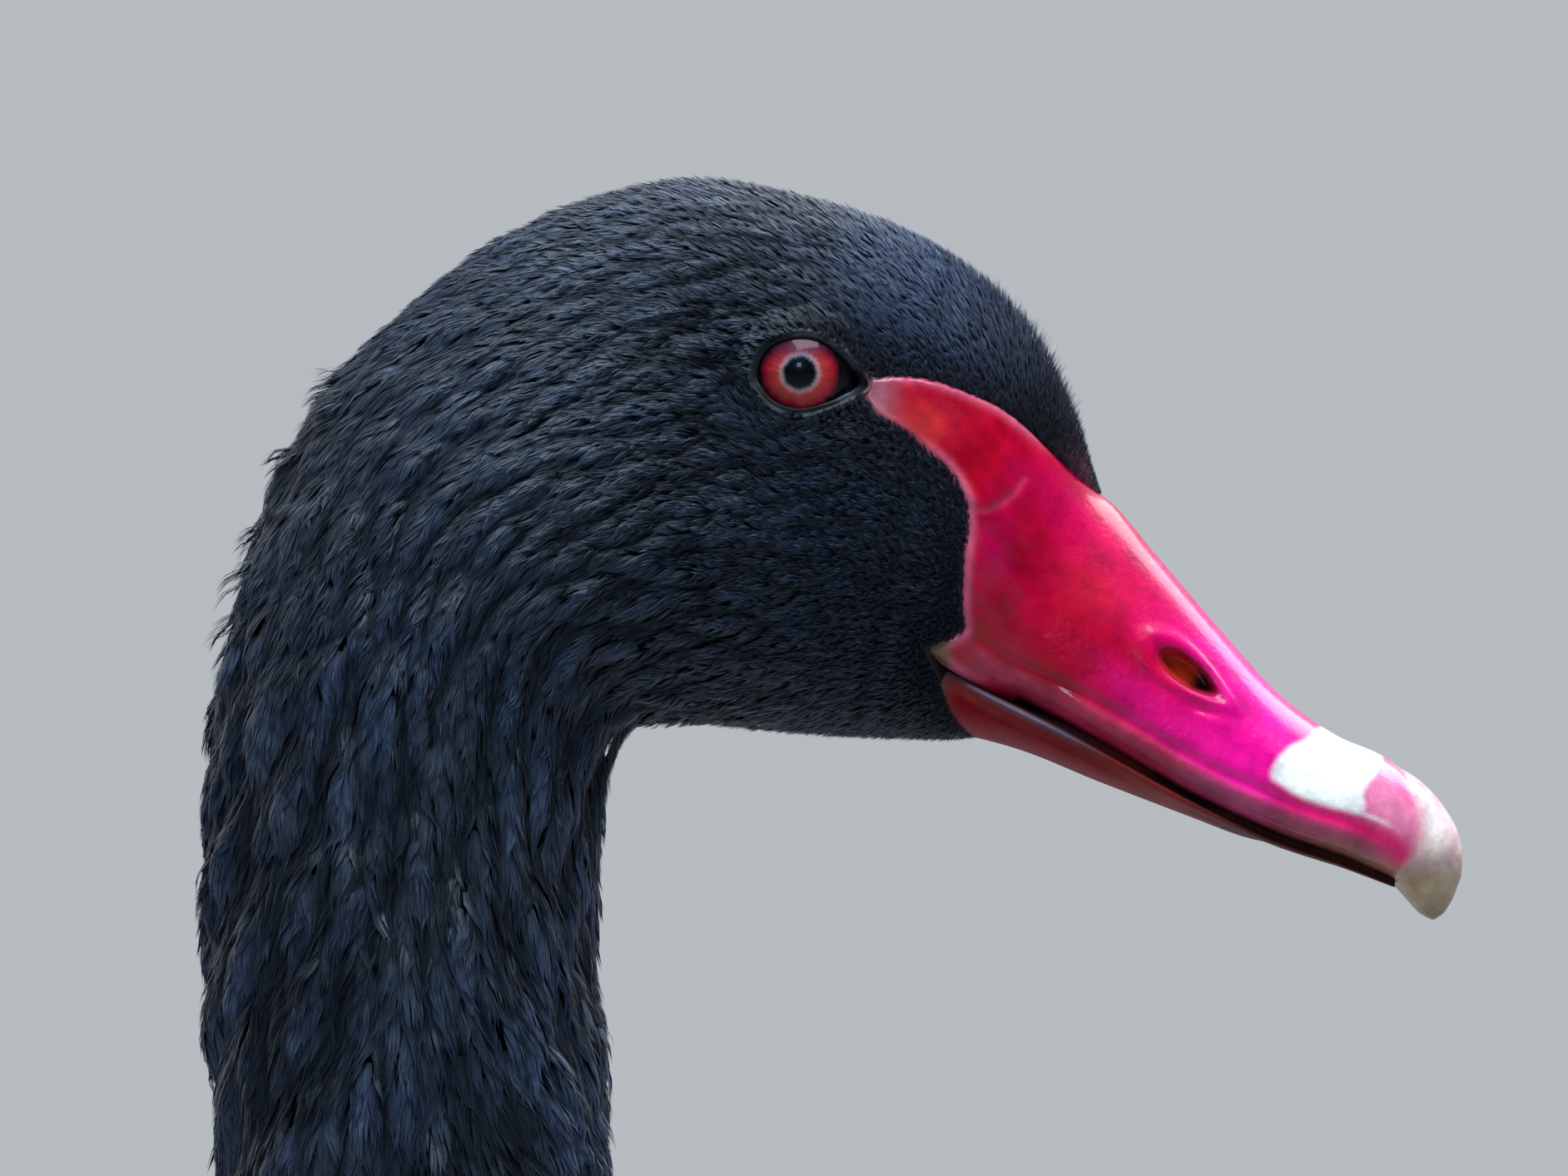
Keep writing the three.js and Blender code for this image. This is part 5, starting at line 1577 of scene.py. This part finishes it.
# Colours of the sky by height, on the camera's side of the bird and behind it.
SKY_BEFORE = [(0.1, (0.04, 0.05, 0.06)), (0.6, (0.06, 0.07, 0.11)), (0.85, (1.0, 1.1, 1.4))]
SKY_BEHIND = [(0.1, (0.47, 0.50, 0.53)), (0.3, (0.42, 0.46, 0.55)), (0.7, (0.9, 0.98, 1.25))]


def make_floor():
    corners = np.array([(-1, -1), (1, -1), (1, 1), (-1, 1)]) * FLOOR_REACH
    floor = make_mesh("floor", np.c_[corners, np.full(4, FLOOR)], np.array([[0, 1, 2, 3]]), smooth=False)
    material, tree, shader = new_material("pale_floor", Roughness=0.85)
    shade = ramp(tree, noise(tree, 1.5), [(0.3, (0.36, 0.36, 0.355)), (0.7, (0.39, 0.39, 0.385))])
    tree.links.new(shade, shader.inputs["Base Color"])
    floor.data.materials.append(material)


def make_sky():
    """A pale sky behind the bird, and on the camera's side a dark one that is bright overhead."""
    world = bpy.data.worlds.new("studio")
    bpy.context.scene.world = world
    world.use_nodes = True
    tree = world.node_tree
    split = node(tree, "SeparateXYZ")
    tree.links.new(coordinates(tree, "Generated"), split.inputs["Vector"])
    up = split.outputs["Z"]
    before, behind = ramp(tree, up, SKY_BEFORE), ramp(tree, up, SKY_BEHIND)
    away = ramp(tree, split.outputs["Y"], [(0.0, 0.0), (0.35, 1.0)])
    tree.links.new(mixed(tree, away, before, behind), tree.nodes["Background"].inputs["Color"])


# The lights, as name, place from just under the eyes in metres, size, energy and colour.
LIGHTS = (("key", (0.3, -0.7, 2.4), 1.8, 130, (0.92, 0.95, 1.0)),
          ("rim", (0.9, 1.1, 1.35), 1.2, 30, (0.95, 0.97, 1.0)),
          ("back", (-1.6, 1.6, 1.0), 1.6, 8, (0.9, 0.94, 1.0)),
          ("glint", (-0.05, -1.6, 0.62), 0.26, 5.0, (0.4, 0.7, 1.0)))


def make_lights():
    centre = EYE_PLACE + np.array([0.0, 0.0, -0.1])
    for name, place, size, energy, colour in LIGHTS:
        light = bpy.data.lights.new(name, "AREA")
        light.size = size
        light.energy = energy
        light.color = colour
        obj = add_object(name, light)
        obj.location = centre + np.array(place)
        obj.rotation_mode = "QUATERNION"
        obj.rotation_quaternion = (obj.location - type(obj.location)(centre)).to_track_quat("Z", "Y")


PHOTO_WIDTH = 1884 * 0.0001075  # the photograph's pixels across and the metres that each shows
CAMERA_DISTANCE = 3.0
CAMERA_SHIFT = (-0.00204, -0.02757)  # from the eyes, forward and up, in metres


def make_camera():
    """A long lens level with the head, at the bird's right, with the photograph's framing."""
    camera = bpy.data.cameras.new("camera")
    camera.sensor_width = 36.0
    camera.lens = camera.sensor_width * CAMERA_DISTANCE / PHOTO_WIDTH
    camera.clip_end = 100
    obj = add_object("camera", camera)
    obj.location = (EYE_PLACE[0] + CAMERA_SHIFT[0], -CAMERA_DISTANCE, EYE_PLACE[2] + CAMERA_SHIFT[1])
    obj.rotation_euler = (math.radians(90), 0, 0)
    bpy.context.scene.camera = obj
    bpy.context.scene.view_settings.view_transform = "Standard"


def make_swan():
    hide = body_surface()
    make_skin(hide)
    make_upper_bill()
    make_lower_bill()
    make_eyes()
    make_claws()
    black = feather_material("black_feathers", (0.0018, 0.0028, 0.0042), (0.058, 0.08, 0.125), 0.46, 0.36,
                             tint=(0.62, 0.82, 1.0, 1.0))
    white = feather_material("white_feathers", (0.01, 0.011, 0.014), (0.78, 0.77, 0.75), 0.6, 0.3,
                             streaks=0.25, hues=0.15)
    make_coat(make_plumage(hide), black)
    make_wings(hide, black, white)
    make_tail(black)


make_swan()
make_floor()
make_sky()
make_lights()
make_camera()
